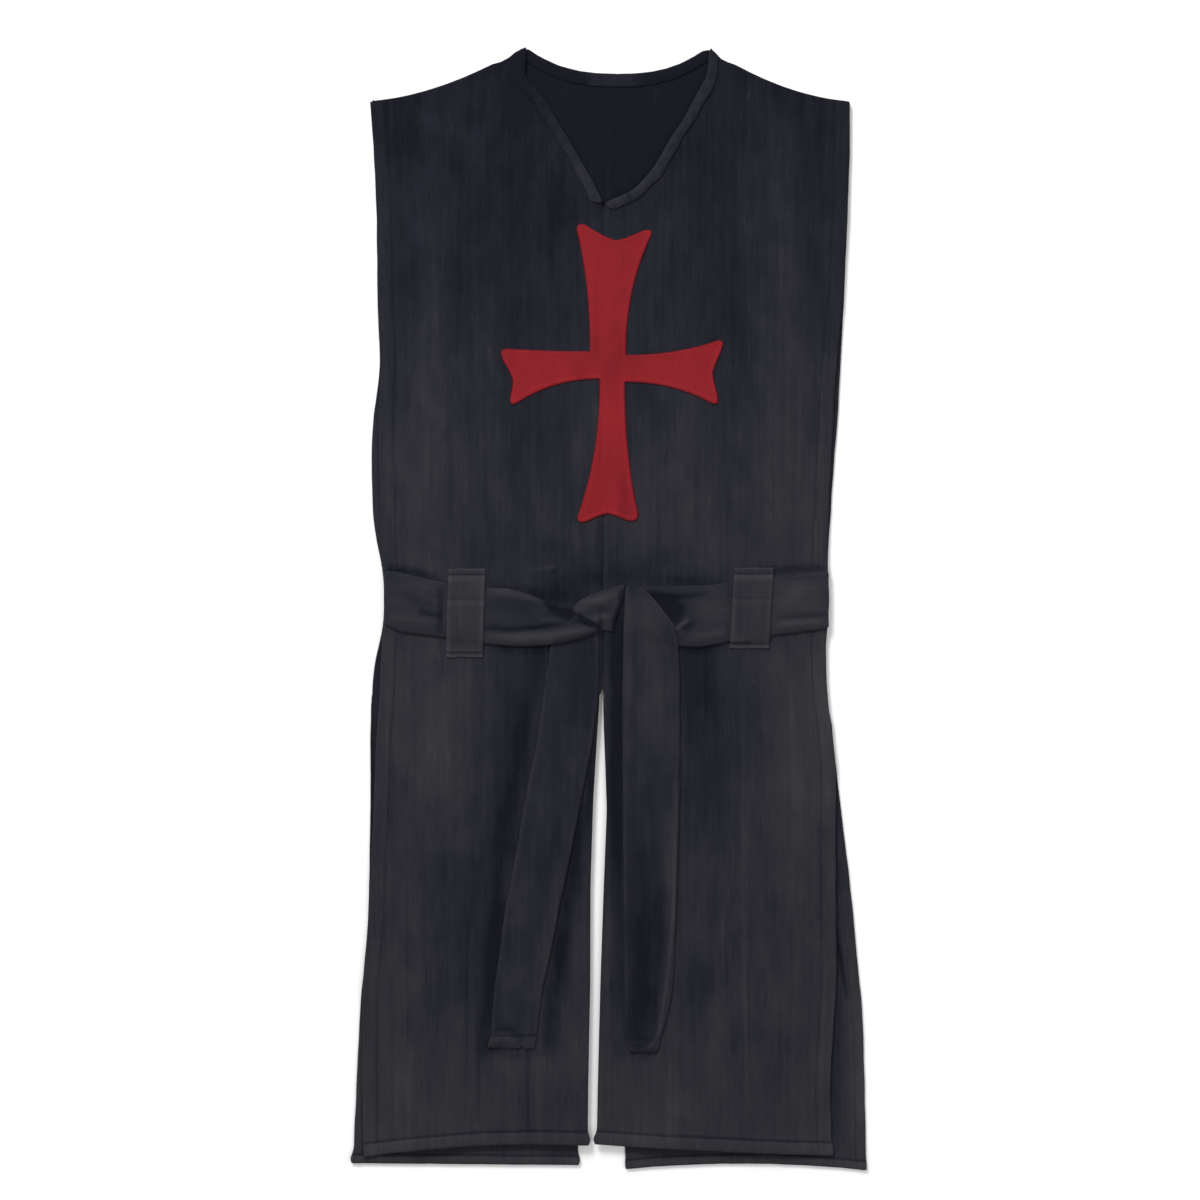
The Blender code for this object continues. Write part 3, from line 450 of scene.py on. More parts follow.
def smooth_line(values, passes):
    for _ in range(passes):
        wide = np.pad(values, 1, mode="edge")
        inner = (2.0 * values + wide[:-2] + wide[2:]) / 4.0
        inner[0], inner[-1] = values[0], values[-1]
        values = inner
    return values


def ramp(value, length):
    t = np.clip(value / length, 0.0, 1.0)
    return t * t * (3.0 - 2.0 * t)


def bell(value, width, centre=0.0):
    return np.exp(-((value - centre) / width) ** 2)


def grain(x, y, size_x, size_y, seed):
    """Even noise between about -1 and 1 over a grid."""
    x, y = np.broadcast_arrays(x, y)
    out = np.empty(x.shape)
    for index in np.ndindex(x.shape):
        out[index] = noise.noise(Vector((x[index] / size_x, y[index] / size_y, seed)))
    return out


def stroked(x, y, strokes):
    """Soft strokes along paths, each with its own width on each side, fading at its ends."""
    total = np.zeros(x.shape)
    for amount, left, right, *path in strokes:
        nearest = np.full(x.shape, 1e9)
        side = np.zeros(x.shape)
        along = np.zeros(x.shape)
        for k, ((x0, y0), (x1, y1)) in enumerate(zip(path, path[1:])):
            dx, dy = x1 - x0, y1 - y0
            t = np.clip(((x - x0) * dx + (y - y0) * dy) / (dx * dx + dy * dy), 0.0, 1.0)
            ox, oy = x - x0 - t * dx, y - y0 - t * dy
            distance = np.hypot(ox, oy)
            nearer = distance < nearest
            nearest = np.where(nearer, distance, nearest)
            side = np.where(nearer, dx * oy - dy * ox, side)
            along = np.where(nearer, (k + t) / (len(path) - 1), along)
        total += amount * bell(nearest, np.where(side > 0.0, left, right)) * np.sin(np.pi * along) ** 0.35
    return total


def painted_tone(name, x, y):
    """Painted shade and painted light of a piece's cloth, with some uneven dye, from its strokes and its
    patches.
    """
    total = stroked(x, y, PAINTED_SHADING[name])
    for patch_x, patch_y, across, along, tone in SHADE_AND_DYE_PATCHES.get(name, ()):
        total += tone * np.exp(-((x - patch_x) / across) ** 2 - ((y - patch_y) / along) ** 2)
    return total


def lengths(path):
    """Length along a path up to each of its points."""
    return np.concatenate([[0.0], np.cumsum(np.hypot(*np.diff(path, axis=0).T))])


def points_along(path, at):
    return np.column_stack([np.interp(at, lengths(path), path[:, k]) for k in (0, 1)])


def resampled(path, count, passes=3):
    """A path with even steps and soft corners."""
    path = np.array(path, float)
    line = points_along(path, np.linspace(0.0, lengths(path)[-1], count))
    return np.column_stack([smooth_line(line[:, k], passes) for k in (0, 1)])


# Meshes

def add_object(name, data):
    obj = bpy.data.objects.new(name, data)
    bpy.context.scene.collection.objects.link(obj)
    return obj


def add_piece(name, verts, faces, material, tones=None):
    """A smooth mesh piece of the garment, from places in millimetres."""
    mesh = bpy.data.meshes.new(name)
    mesh.from_pydata((np.array(verts) * MM).tolist(), [], faces)
    mesh.materials.append(material)
    mesh.shade_smooth()
    if tones is not None:
        layer = mesh.attributes.new("tone", "FLOAT", "POINT")
        layer.data.foreach_set("value", np.asarray(tones, dtype=np.float32))
    obj = add_object(name, mesh)
    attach(obj, "root")
    return obj


def normals_of(points):
    normal = np.cross(np.gradient(points, axis=1), np.gradient(points, axis=0))
    return normal / np.maximum(np.linalg.norm(normal, axis=2, keepdims=True), 1e-9)


def rim_of(rows, columns):
    """Places round a grid's edge in order, each with the place just inside it."""
    ring = [(0, j) for j in range(columns)] + [(i, columns - 1) for i in range(1, rows)]
    ring += [(rows - 1, j) for j in range(columns - 2, -1, -1)] + [(i, 0) for i in range(rows - 2, 0, -1)]
    return [((i, j), (min(max(i, 1), rows - 2), min(max(j, 1), columns - 2))) for i, j in ring]


def cloth(node, x, y, z, wall, material, tone=0.0, name=None):
    """A thin cloth with a rounded edge in place of a node: an outer sheet, its inner side and its rim."""
    points = np.dstack([x, y, z])
    rows, columns, _ = points.shape
    wall, tone = np.broadcast_to(wall, (rows, columns)), np.broadcast_to(tone, (rows, columns))
    normal = normals_of(points)
    flip = normal[rows // 2:, :, 2].mean() < 0.0
    if flip:
        normal = -normal
    inner = points - normal * wall[..., None]
    ring = rim_of(rows, columns)
    edge = []
    for place, inside in ring:
        out = points[place] - points[inside]
        out /= max(np.linalg.norm(out), 1e-9)
        edge.append((points[place] + inner[place]) / 2.0 + out * wall[place] * 0.4)
    count = rows * columns
    faces = []
    for i in range(rows - 1):
        for j in range(columns - 1):
            a = i * columns + j
            face = (a, a + 1, a + columns + 1, a + columns)
            faces += [face, tuple(v + count for v in face[::-1])]
    outline = [i * columns + j for (i, j), _ in ring]
    for k, (a, b) in enumerate(zip(outline, outline[1:] + outline[:1])):
        m, n = 2 * count + k, 2 * count + (k + 1) % len(ring)
        faces += [(a, m, n, b), (m, a + count, b + count, n)]
    if flip:
        faces = [face[::-1] for face in faces]
    tones = np.concatenate([tone.ravel(), tone.ravel(), [tone[place] for place, _ in ring]])
    verts = np.concatenate([points.reshape(-1, 3), inner.reshape(-1, 3), edge])
    obj = add_piece(name or node + "_cloth", verts, faces, material, tones)
    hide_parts(node)
    return obj


# Materials

def new_material(name, settings):
    """A material whose shader has the given inputs."""
    material = bpy.data.materials.new(name)
    material.use_nodes = True
    shader = material.node_tree.nodes["Principled BSDF"]
    for key, value in settings.items():
        shader.inputs[key].default_value = value
    return material, material.node_tree, shader


def add_node(tree, kind, settings=None, **inputs):
    """A shader node, with inputs given by name or, as i0, i1 and so on, by number."""
    node = tree.nodes.new(kind)
    for key, value in (settings or {}).items():
        setattr(node, key, value)
    for key, value in inputs.items():
        socket = node.inputs[int(key[1:]) if key[1:].isdigit() else key]
        if hasattr(value, "is_output"):
            tree.links.new(value, socket)
        else:
            socket.default_value = value
    return node


def calc(tree, operation, a, b=0.0, c=0.0):
    return add_node(tree, "ShaderNodeMath", {"operation": operation}, i0=a, i1=b, i2=c).outputs[0]


def noise_field(tree, place, seed, across, along, size, detail, more):
    """Noise stretched along x and y, at a size in millimetres."""
    moved = add_node(tree, "ShaderNodeMapping", None, i0=place, i3=(across, along, 1.0)).outputs[0]
    return add_node(tree, "ShaderNodeTexNoise", {"noise_dimensions": "4D"}, Vector=moved, W=seed + more,
                    Scale=1.0 / (size * MM), Detail=detail, Roughness=0.55).outputs[0]


def threshold(tree, value, low, high):
    settings = {"interpolation_type": "SMOOTHSTEP"}
    return add_node(tree, "ShaderNodeMapRange", settings, i0=value, i1=low, i2=high).outputs[0]


def thread_wave(tree, place, direction, pitch):
    settings = {"wave_type": "BANDS", "bands_direction": direction}
    return add_node(tree, "ShaderNodeTexWave", settings, Vector=place, Scale=math.tau / (20.0 * pitch * MM),
                    Distortion=1.2, Detail=1.0).outputs[1]


def cotton(name, colours, middle, streaks=1.0, seed=0.0, angle=0.0):
    """Slubby plain-weave cotton: streaks along the thread, slubs, worn blotches and a fine weave."""
    material, tree, shader = new_material(name, {
        "Roughness": 0.88, "Specular IOR Level": 0.08, "Sheen Weight": 0.03, "Sheen Roughness": 0.55})
    place = add_node(tree, "ShaderNodeTexCoord").outputs["Object"]
    place = add_node(tree, "ShaderNodeMapping", None, i0=place, i2=(0.0, 0.0, angle)).outputs[0]
    fields = {key: noise_field(tree, place, seed, *row) for key, row in COTTON_NOISE.items()}
    for key, low in (("slub", 0.66), ("gap", 0.64), ("weft", 0.64)):
        fields[key] = threshold(tree, fields[key], low, 0.80)
    level = calc(tree, "MULTIPLY_ADD", fields["streak"], 0.55 * streaks, middle - 0.275 * streaks)
    for key, weight in (("fine", 0.34 * streaks), ("blotch", 0.64), ("patch", 0.60)):
        level = calc(tree, "MULTIPLY_ADD", fields[key], weight, calc(tree, "ADD", level, -0.5 * weight))
    for key, weight in (("slub", 0.34), ("gap", -0.20), ("weft", 0.16)):
        level = calc(tree, "MULTIPLY_ADD", fields[key], weight * streaks, level)
    # The tone attribute adds each piece's painted shade and painted light, with some wear and uneven dye
    tone = add_node(tree, "ShaderNodeAttribute", {"attribute_name": "tone"}).outputs["Fac"]
    dye = add_node(tree, "ShaderNodeValToRGB", i0=calc(tree, "MULTIPLY", calc(tree, "ADD", level, tone), 0.7))
    elements = dye.color_ramp.elements
    elements.new(0.32)
    elements.new(0.68)
    for element, colour in zip(elements, colours):
        element.color = (*colour, 1.0)
    tree.links.new(dye.outputs[0], shader.inputs["Base Color"])
    weave = calc(tree, "MULTIPLY", thread_wave(tree, place, "X", 1.15), thread_wave(tree, place, "Y", 1.25))
    height = calc(tree, "MULTIPLY", weave, 0.45)
    for key, weight in (("slub", 0.8), ("weft", 0.45), ("streak", 1.0)):
        height = calc(tree, "MULTIPLY_ADD", fields[key], weight, height)
    bump = add_node(tree, "ShaderNodeBump", Strength=0.55, Distance=0.0006, Height=height)
    tree.links.new(bump.outputs[0], shader.inputs["Normal"])
    return material


def materials():
    return {
        # The back's darker middle is painted shade, and the loops' paler middle is painted highlight
        "front": cotton("surcoat_black", BLACK, 0.46),
        "back": cotton("surcoat_back", BLACK, 0.40, seed=21.0),
        "loop": cotton("loop_black", BLACK, 0.84, 0.6, 31.0),
        "band": cotton("band_black", BLACK, 0.45, 0.5, 41.0),
        "belt": cotton("belt_black", BLACK, 0.58, 0.6, 51.0, math.pi / 2.0),
        "tail": cotton("tail_black", BLACK, 0.45, 0.8, 61.0),
        "thread": cotton("thread_black", BLACK, 0.40, 0.3, 81.0),
        "cross": cotton("cross_red", RED, 0.52, 0.45, 71.0),
        "cross_thread": cotton("cross_thread", RED, 0.70, 0.2, 91.0),
    }


# Panels

def between(first, last, u):
    """Grid whose rows run from one line's places to another's."""
    return first[:, None] + (last - first)[:, None] * u


def hem_relief(distance, width, rise):
    """Raised round turn of a hem with a groove at its stitches."""
    t = np.clip(distance / width, 0.0, 1.0)
    return rise * (1.0 - (2.0 * t - 1.0) ** 4) - HEM_GROOVE * bell(distance, GROOVE_WIDTH, width)


def uneven(length, start, end, fine, step):
    """Shares along a length, close together over its start and its end."""
    middle = max(2, round((length - start - end) / step))
    places = [np.linspace(0.0, start, max(2, round(start / fine) + 1))[:-1],
              np.linspace(start, length - end, middle + 1)[:-1],
              np.linspace(length - end, length, max(2, round(end / fine) + 1))]
    return np.concatenate(places) / length


def with_lines(shares, length, lines):
    """Shares along a length with more places close to its pressed lines."""
    places = np.sort(np.concatenate([shares * length] + [np.arange(-5.0, 5.1, 1.0) + line for line in lines]))
    keep = np.concatenate([[True], np.diff(places) > 0.45])
    keep[-1] = True
    return places[keep] / length


def neck_rise(x):
    """How far the back of the neck stands above the solid."""
    return NECK_RISE * ramp(x + 92.0, 12.0) * ramp(104.0 - x, 12.0)


def panel_grid(name, front):
    """Places of a panel, from the outline of its CAD node, and how far each lies from its edges."""
    facts = PANELS[name]
    step = 4.0 if front else 7.0
    slit = PANEL_LENGTH * (SLIT_TOP - facts.inner[0]) / (facts.inner[1] - facts.inner[0])
    v = with_lines(uneven(PANEL_LENGTH, 17.0, 6.0, 1.5, step), PANEL_LENGTH, (slit,))
    u = with_lines(uneven(PANEL_WIDTH, 18.0, 7.0, 1.6, step), PANEL_WIDTH, facts.lines)
    right = 1 if name.endswith("right") else 0
    outward = 2 * right - 1
    outer_y, inner_y = (low + v * (high - low) for low, high in (facts.outer, facts.inner))
    nudge = np.zeros(len(v))
    nudge[0], nudge[-1] = 0.6, -0.6
    outer_x = smooth_line(spans(name, 1, outer_y + nudge)[right], 8)
    inner_x = smooth_line(spans(name, 1, inner_y + nudge)[1 - right], 2)
    outer_x += 0.35 * grain(outer_y, 0.0, 21.0, 1.0, 3.0 + right)
    outer_x += outward * np.interp(outer_y, EDGE_Y, EDGE_SWELL[right])
    outer_x += outward * facts.swell * ramp(-300.0 - outer_y, 90.0)
    inner_x += outward * 0.9 * bell(inner_y, 3.4, SLIT_TOP - 6.0)
    top_x = outer_x[-1] + (inner_x[-1] - outer_x[-1]) * u
    inner_x += facts.peak_shift * ramp(34.0 - facts.inner[1] + inner_y, 34.0)
    corner = bell(outer_y - outer_y[0], 6.0, 5.0)
    outer_x += facts.flare[0] * corner
    inner_x += facts.flare[1] * corner
    width = np.abs(inner_x - outer_x)[:, None]
    x, y = between(outer_x, inner_x, u), between(outer_y, inner_y, u)
    low = spans(name, 0, x[0] - outward * facts.swell * (1.0 - u), 0.3)[0]
    high = spans(name, 0, top_x, 0.3)[1]
    low[0], low[-1] = y[0, 0], y[0, -1]
    high[0], high[-1] = y[-1, 0], y[-1, -1]
    low += 0.4 * grain(x[0], 0.0, 17.0, 1.0, 7.0) - (FRONT_DROP if front else BACK_DROP)
    dip_x, dip = facts.dip
    high -= dip * bell(x[-1], 8.0, dip_x)
    high += PEAK_RISE * ramp(16.0 - np.abs(x[-1] - x[-1, -1]), 16.0) if front else neck_rise(x[-1])
    from_hem = (outer_y - outer_y[0])[:, None] + 0.0 * u
    from_top = (outer_y[-1] - outer_y)[:, None] + 0.0 * u
    y = y + ramp(190.0 - from_hem, 190.0) * (low - y[0]) + ramp(190.0 - from_top, 190.0) * (high - y[-1])
    return x, y, width * u, width * (1.0 - u), from_hem, from_top


def filled(z):
    """Heights where the places past the solid's edges take the height of the nearest place on it."""
    columns = np.arange(z.shape[1])
    rows = [row for row in range(len(z)) if (z[row] > 0.0).any()]
    for row in rows:
        hit = z[row] > 0.0
        z[row] = np.interp(columns, columns[hit], z[row][hit])
    for row in range(len(z)):
        z[row] = z[min(rows, key=lambda at: abs(at - row))]
    return z


def panel(name, material, floor):
    """A panel as a thin cloth on its solid's form, with hems, creases and a little crumple."""
    front = name.startswith("front")
    wall = FRONT_WALL if front else BACK_WALL
    side_hem, end_hem = (SIDE_HEM, END_HEM) if front else (BACK_SIDE_HEM, BACK_END_HEM)
    x, y, from_side, from_inner, from_hem, from_top = panel_grid(name, front)
    relief = stroked(x, y, CREASES.get(name, ())) + 0.35 * grain(x, y, 46.0, 150.0, 2.0)
    relief += 0.20 * grain(x, y, 19.0, 34.0, 5.0) + 0.10 * grain(x, y, 8.0, 11.0, 9.0)
    if not front:
        relief *= 0.4
    calm = ramp(from_top, 25.0) * (0.25 + 0.75 * ramp(from_side, 30.0))
    hems = np.maximum(hem_relief(from_hem, end_hem, 0.85), hem_relief(from_side, side_hem, 0.40))
    seam = 0.25 * bell(from_inner, 3.0, 5.0) - 0.55 * bell(from_inner, 1.8)
    pucker = 0.14 * grain(x, y, 4.0, 4.0, 21.0) * bell(np.minimum(from_side, from_hem), 14.0)
    z = smooth(filled(tops([tree_of(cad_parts[name])], x, y)), 10) - (0.0 if front else 0.35)
    z += relief * calm + hems + seam * (1.0 if front else 0.3) + pucker
    z = np.maximum(z, (tops(floor, x, y) + LAYER_GAP if front else 0.04) + wall)
    # Painted shade in the relief's troughs and painted light on its ridges (with a little wear on the
    # crests), the painted light falling off toward the neck, and the painted strokes and patches
    tone = 0.16 * np.clip(relief, -1.2, 1.2) + np.interp(y, RISE_Y, RISE_PAINTED_LIGHT) + painted_tone(name, x, y)
    # Hems paler as painted highlight on their raised turns, with some wear; dark lines as painted shade at
    # the inner edge and in the stitch grooves of the side and end hems
    tone += 0.16 * ramp(end_hem - from_hem, 2.0) + 0.06 * ramp(SIDE_HEM - from_side, 2.0)
    tone -= (0.12 if front else 0.08) * bell(from_inner, 1.4) + 0.14 * bell(from_side, 1.2, SIDE_HEM - 1.0)
    tone -= 0.55 * bell(from_hem, 1.2, end_hem)
    # Painted shadow where the front's edge shades the back just above its hem
    if not front:
        tone -= 0.12 * ramp(from_hem - 9.0, 4.0) * ramp(60.0 - from_hem, 20.0)
    return cloth(name, x, y, z, wall, material, tone), np.dstack([x, y, z])


def hem_lines(name, points):
    """Stitch lines just inside a panel's side hem and end hem."""
    side, end = (SIDE_HEM, END_HEM) if name.startswith("front") else (BACK_SIDE_HEM, BACK_END_HEM)
    across = np.cumsum(np.abs(np.diff(points[..., 0], axis=1, prepend=points[:, :1, 0])), axis=1)
    along = np.cumsum(np.abs(np.diff(points[..., 1], axis=0, prepend=points[:1, :, 1])), axis=0)
    sides = [[np.interp(side - 0.9, across[i], points[i, :, k]) for k in (0, 1)] for i in range(len(points))]
    columns = range(1, points.shape[1] - 1)
    ends = [[np.interp(end - 0.2, along[:, j], points[:, j, k]) for k in (0, 1)] for j in columns]
    return [sides[4:-4], ends]


# Neck bands

def band_on(name, x, y, lift, material, floor, seed, tone, dent=NOWHERE):
    """A rolled band, full at its first edge and thin at its last, puckered by its stitches."""
    u = np.linspace(0.0, 1.0, x.shape[1])
    along = lengths(np.column_stack([x[:, 0], y[:, 0]]))[:, None]
    lumps = 0.5 + 0.5 * np.cos(math.tau * (along + 4.0 * np.sin(along / 19.0)) / 15.0)
    pucker = 0.10 * np.sin(math.tau * along / 4.3)
    roll = lift * np.sin(np.pi * (0.12 + 0.84 * u)) ** 0.8
    roll = roll * (0.72 + 0.28 * lumps ** 0.5 + pucker) * (1.0 - 0.9 * bell(along, 2.2, dent))
    wall = BAND_WALL * (1.0 - 0.62 * u ** 2)
    z = laid(x, y, floor, roll + 0.14 * grain(x, y, 6.0, 6.0, seed), wall, 1.5, 3, 0.1)
    # Painted light on the band's lumps, painted shade at its thin edge and in the stitch's dent, over uneven
    # grain
    tone = tone + 0.10 * (lumps - 0.7) * np.sin(np.pi * u) + 0.12 * grain(x, y, 8.0, 8.0, seed + 1.0)
    tone -= 0.22 * bell(1.0 - u, 0.10) + 0.45 * bell(along, 1.8, dent)
    return cloth(name, x, y, z, wall, material, tone)


def front_band(name, panel_points, material, floor, seed):
    """The band of the V: it follows the panel's inner edge and lies on the panel."""
    right = 1 if name.endswith("right") else 0
    outward = 2 * right - 1
    edge = panel_points[:, -1, :2]
    shoulder = panel_points[-1, ::-outward, :2]
    peak = edge[-1, 1]
    ys = np.linspace(BAND_FEET[right], peak - 0.6, 60)
    inner = np.column_stack([np.interp(ys, edge[:, 1], edge[:, 0]), ys])
    even = np.linspace(0.0, lengths(inner)[-1], 96)
    path = resampled(inner, 96, 5)
    along = np.gradient(path, axis=0)
    along /= np.linalg.norm(along, axis=1, keepdims=True)
    width = 10.3 + 0.6 * np.sin(even / 13.0 + seed) + 0.5 * np.sin(even / 5.1 + seed)
    width *= 0.55 + 0.45 * ramp(even + 0.5, 6.0)
    u = np.linspace(0.0, 1.0, 12)
    out = (width[:, None] * u - 0.4) * outward
    x = path[:, :1] + along[:, 1:] * out
    y = path[:, 1:] - along[:, :1] * out
    highest = np.interp(x, shoulder[:, 0], shoulder[:, 1]) - 1.0 - 0.5 * u
    y = np.minimum(y, highest - 0.16 * np.arange(len(even))[::-1, None])
    lift = (0.55 + 0.65 * ramp(peak - 22.0 - y, 40.0)) * (0.5 + 0.5 * ramp(even[:, None] + 1.0, 5.0))
    tone = np.interp(y, BAND_Y, BAND_PAINTED_SHADE[right])
    return band_on(name, x, y, lift, material, floor, seed, tone, BAND_DENT if right else NOWHERE)


def back_band(material, floor):
    """The band inside the back of the neck, just below the neck's edge."""
    xs = np.linspace(*BAND_BACK_X, 110)
    low, high = spans("neck_band_back", 0, xs)
    low = smooth_line(low, 4) + 0.5 * grain(xs, 0.0, 12.0, 1.0, 5.0) + 0.6 * neck_rise(xs)
    high += neck_rise(xs)
    u = np.linspace(0.0, 1.0, 9)
    x = xs[:, None] + 0.0 * u
    y = between(high, low, u)
    # Painted shade inside the back of the neck: dark toward both ends, paler in the middle
    tone = -0.56 + 0.54 * np.exp(-((x - 4.0) / 26.0) ** 4)
    return band_on("neck_band_back", x, y, 0.4, material, floor, 17.0, tone)


# Cross

def loop_of(faces):
    """Edges of a sheet that belong to one face only, in order round its rim."""
    edges = set()
    for face in faces:
        edges.update(zip(face, face[1:] + face[:1]))
    following = dict(edge for edge in edges if edge[::-1] not in edges)
    ring = [next(iter(following))]
    while following[ring[-1]] != ring[0]:
        ring.append(following[ring[-1]])
    return ring


def cross_grids():
    """Plan of the cross: its middle and its four arms, which share edges."""
    share = np.sin(np.linspace(-0.5, 0.5, 17) * math.pi) * 0.5 + 0.5
    corners = [np.array(corner) for corner in CROSS_MIDDLE]
    upper = corners[0] + (corners[1] - corners[0]) * share[:, None]
    lower = corners[3] + (corners[2] - corners[3]) * share[:, None]
    grids = [lower[None] + (upper - lower)[None] * share[:, None, None]]
    t = (1.0 - (1.0 - np.linspace(0.0, 1.0, 46)) ** 1.25)[:, None]
    for (degrees, *tips, notch), start, end in zip(CROSS_ARMS, corners, corners[1:] + corners[:1]):
        angle = math.radians(degrees)
        out = np.array((math.cos(angle), math.sin(angle)))
        beside = np.array((math.sin(angle), -math.cos(angle)))
        lines = []
        for root, tip in zip((start, end), tips):
            ahead, aside = np.dot(tip - root, out), np.dot(tip - root, beside)
            lines.append(root + out * ahead * t + beside * aside * t ** CROSS_FLARE)
        grid = between(*lines, share[:, None])
        cut = notch * (1.0 - np.abs(2.0 * share - 1.0) ** 1.35) * t ** 4
        grids.append(grid - out * cut[..., None])
    return grids


def cross_plan():
    """Places of the cross in plan, and its faces seen from above."""
    seen = {}
    flat = []
    faces = []
    for grid in cross_grids():
        ids = np.empty(grid.shape[:2], int)
        for index in np.ndindex(ids.shape):
            ids[index] = seen.setdefault(tuple(np.round(grid[index], 2)), len(flat))
            if ids[index] == len(flat):
                flat.append(grid[index])
        a, b = grid[0, 1] - grid[0, 0], grid[1, 0] - grid[0, 0]
        upward = a[0] * b[1] - a[1] * b[0] > 0.0
        for i in range(ids.shape[0] - 1):
            for j in range(ids.shape[1] - 1):
                face = tuple(int(ids[place]) for place in ((i, j), (i, j + 1), (i + 1, j + 1), (i + 1, j)))
                faces.append(face if upward else face[::-1])
    return np.array(flat), faces


def rounded_tips(flat, faces, ring):
    """Plan of the cross with its eight tips rounded off."""
    tips = np.array([tip for arm in CROSS_ARMS for tip in arm[1:3]])
    far = np.linalg.norm(flat[:, None] - tips, axis=2).min(1)
    share = (0.6 * ramp(15.0 - far, 5.0))[:, None]
    inside = np.ones(len(flat), bool)
    inside[ring] = False
    pairs = [(a, b) for face in faces for a, b in zip(face, face[1:] + face[:1]) if inside[a]]
    pairs += [(b, a) for face in faces for a, b in zip(face, face[1:] + face[:1]) if inside[b]]
    for a, b in zip(ring, ring[1:] + ring[:1]):
        pairs += [(a, b), (b, a)]
    one, other = np.array(pairs).T
    count = np.bincount(one, minlength=len(flat))[:, None]
    for _ in range(TIP_PASSES):
        total = np.zeros(flat.shape)
        np.add.at(total, one, flat[other])
        flat = flat + share * (total / count - flat)
    return flat


def cross(material, floor):
    """The cross: one flat piece of red cloth with rounded tips, its edge turned under and sewn down."""
    flat, faces = cross_plan()
    ring = loop_of(faces)
    flat = rounded_tips(flat, faces, ring)
    x, y = flat[:, :1], flat[:, 1:]
    starts = flat[ring]
    ends = np.roll(starts, -1, axis=0)
    sides = ends - starts
    t = ((flat[:, None] - starts) * sides).sum(2) / (sides ** 2).sum(1)
    nearest = starts + sides * np.clip(t, 0.0, 1.0)[..., None]
    distance = np.linalg.norm(flat[:, None] - nearest, axis=2).min(1)
    base = tops(floor, x, y, 1.0)[:, 0] + LAYER_GAP
    top = base + CROSS_WALL + (0.14 * grain(x, y, 11.0, 9.0, 33.0) + 0.08 * grain(x, y, 4.0, 4.0, 34.0))[:, 0]
    top += 0.42 * ramp(distance, 1.2) * ramp(4.6 - distance, 1.6) - 0.30 * bell(distance, 0.6)
    count = len(flat)
    shell = faces + [tuple(v + count for v in face[::-1]) for face in faces]
    shell += [(b, a, a + count, b + count) for a, b in zip(ring, ring[1:] + ring[:1])]
    verts = np.concatenate([np.column_stack([flat, top]), np.column_stack([flat, base])])
    # Painted highlight on the raised rim, painted shadow along the very edge and in the seam's groove, and
    # darker toward the middle
    tone = 0.30 * ramp(distance, 1.6) * ramp(5.2 - distance, 3.0) - 1.5 * bell(distance, 0.95)
    from_middle = np.hypot(flat[:, 0] - 2.0, flat[:, 1] - 240.0)
    tone -= 0.06 * bell(distance, 0.9, 5.0) + 0.12 * bell(from_middle, 22.0)
    obj = add_piece("cross_cloth", verts, shell, material, np.tile(tone, 2))
    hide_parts("cross")
    around = np.roll(starts, 1, axis=0) - ends
    inward = np.column_stack([around[:, 1], -around[:, 0]])
    seam = starts + 2.6 * inward / np.linalg.norm(inward, axis=1, keepdims=True)
    return obj, np.vstack([seam, seam[:1]])


# Loops

def belt_loop(name, material, floor, seed):
    """A loop over the belt: a folded strip sewn down at its top and bottom."""
    points = node_edges(name)[:, 0]
    top_y, bottom_y = points[:, 1].max(), points[:, 1].min()
    length = top_y - bottom_y
    top_row = points[points[:, 1] > top_y - 0.5][:, 0]
    bottom_row = points[points[:, 1] < bottom_y + 0.5][:, 0]

    def sides(share):
        left = top_row.min() + (bottom_row.min() - top_row.min()) * share
        return left, top_row.max() + (bottom_row.max() - top_row.max()) * share

    v = uneven(length, 8.0, 8.0, 0.9, 2.2)[:, None]
    u = uneven(36.0, 5.0, 5.0, 0.8, 1.8)
    left, right = sides(v)
    wide = right - left
    y = top_y - length * v + 0.0 * u
    x = left + wide * u + 0.45 * grain(y, seed, 13.0, 1.0, seed) * (2.0 * u - 1.0)
    y += 0.8 * grain(x, 0.0, 9.0, 1.0, seed + 4.0) * np.abs(2.0 * v - 1.0) ** 6
    from_top, from_bottom = v * length, (1.0 - v) * length
    from_edge = np.minimum(u, 1.0 - u) * wide
    edge = ramp(from_edge, 1.2) * ramp(5.0 - from_edge, 1.6)
    sewn = bell(from_top, 0.9, LOOP_SEAMS[0]) + bell(from_bottom, 0.9, LOOP_SEAMS[1])
    folded = bell(from_top - 1.5 * u, 1.3, 29.5)
    relief = 0.35 * edge - 0.5 * sewn - 0.35 * folded
    relief += 0.35 * grain(x, y, 10.0, 14.0, seed) + 0.10 * grain(x, y, 4.0, 4.0, seed + 9.0)
    z = laid(x, y, floor, relief, LOOP_WALL, 2.2, 10, 0.2)
    # Painted highlights on the loop's rolled edges and its top and bottom turns; painted shade in its seams,
    # its fold and a line near its top
    tone = 0.16 * edge - 0.55 * sewn - 0.24 * folded
    for distance, width, centre, amount in ((from_top, 3.0, 33.5, 0.20), (from_top, 3.2, 9.0, 0.30),
                                            (from_top, 3.0, 0.0, 0.26), (from_top, 0.7, 2.4, -0.35),
                                            (from_bottom, 2.2, 0.0, 0.40), (from_bottom, 3.5, 8.0, 0.14)):
        tone += amount * bell(distance, width, centre)
    lines = []
    for at in (LOOP_SEAMS[0], length - LOOP_SEAMS[1]):
        low, high = sides(at / length)
        lines.append(((low + 1.5, top_y - at), (high - 1.5, top_y - at)))
    return cloth(name, x, y, z, LOOP_WALL, material, tone), lines


# Belt, knot and tails

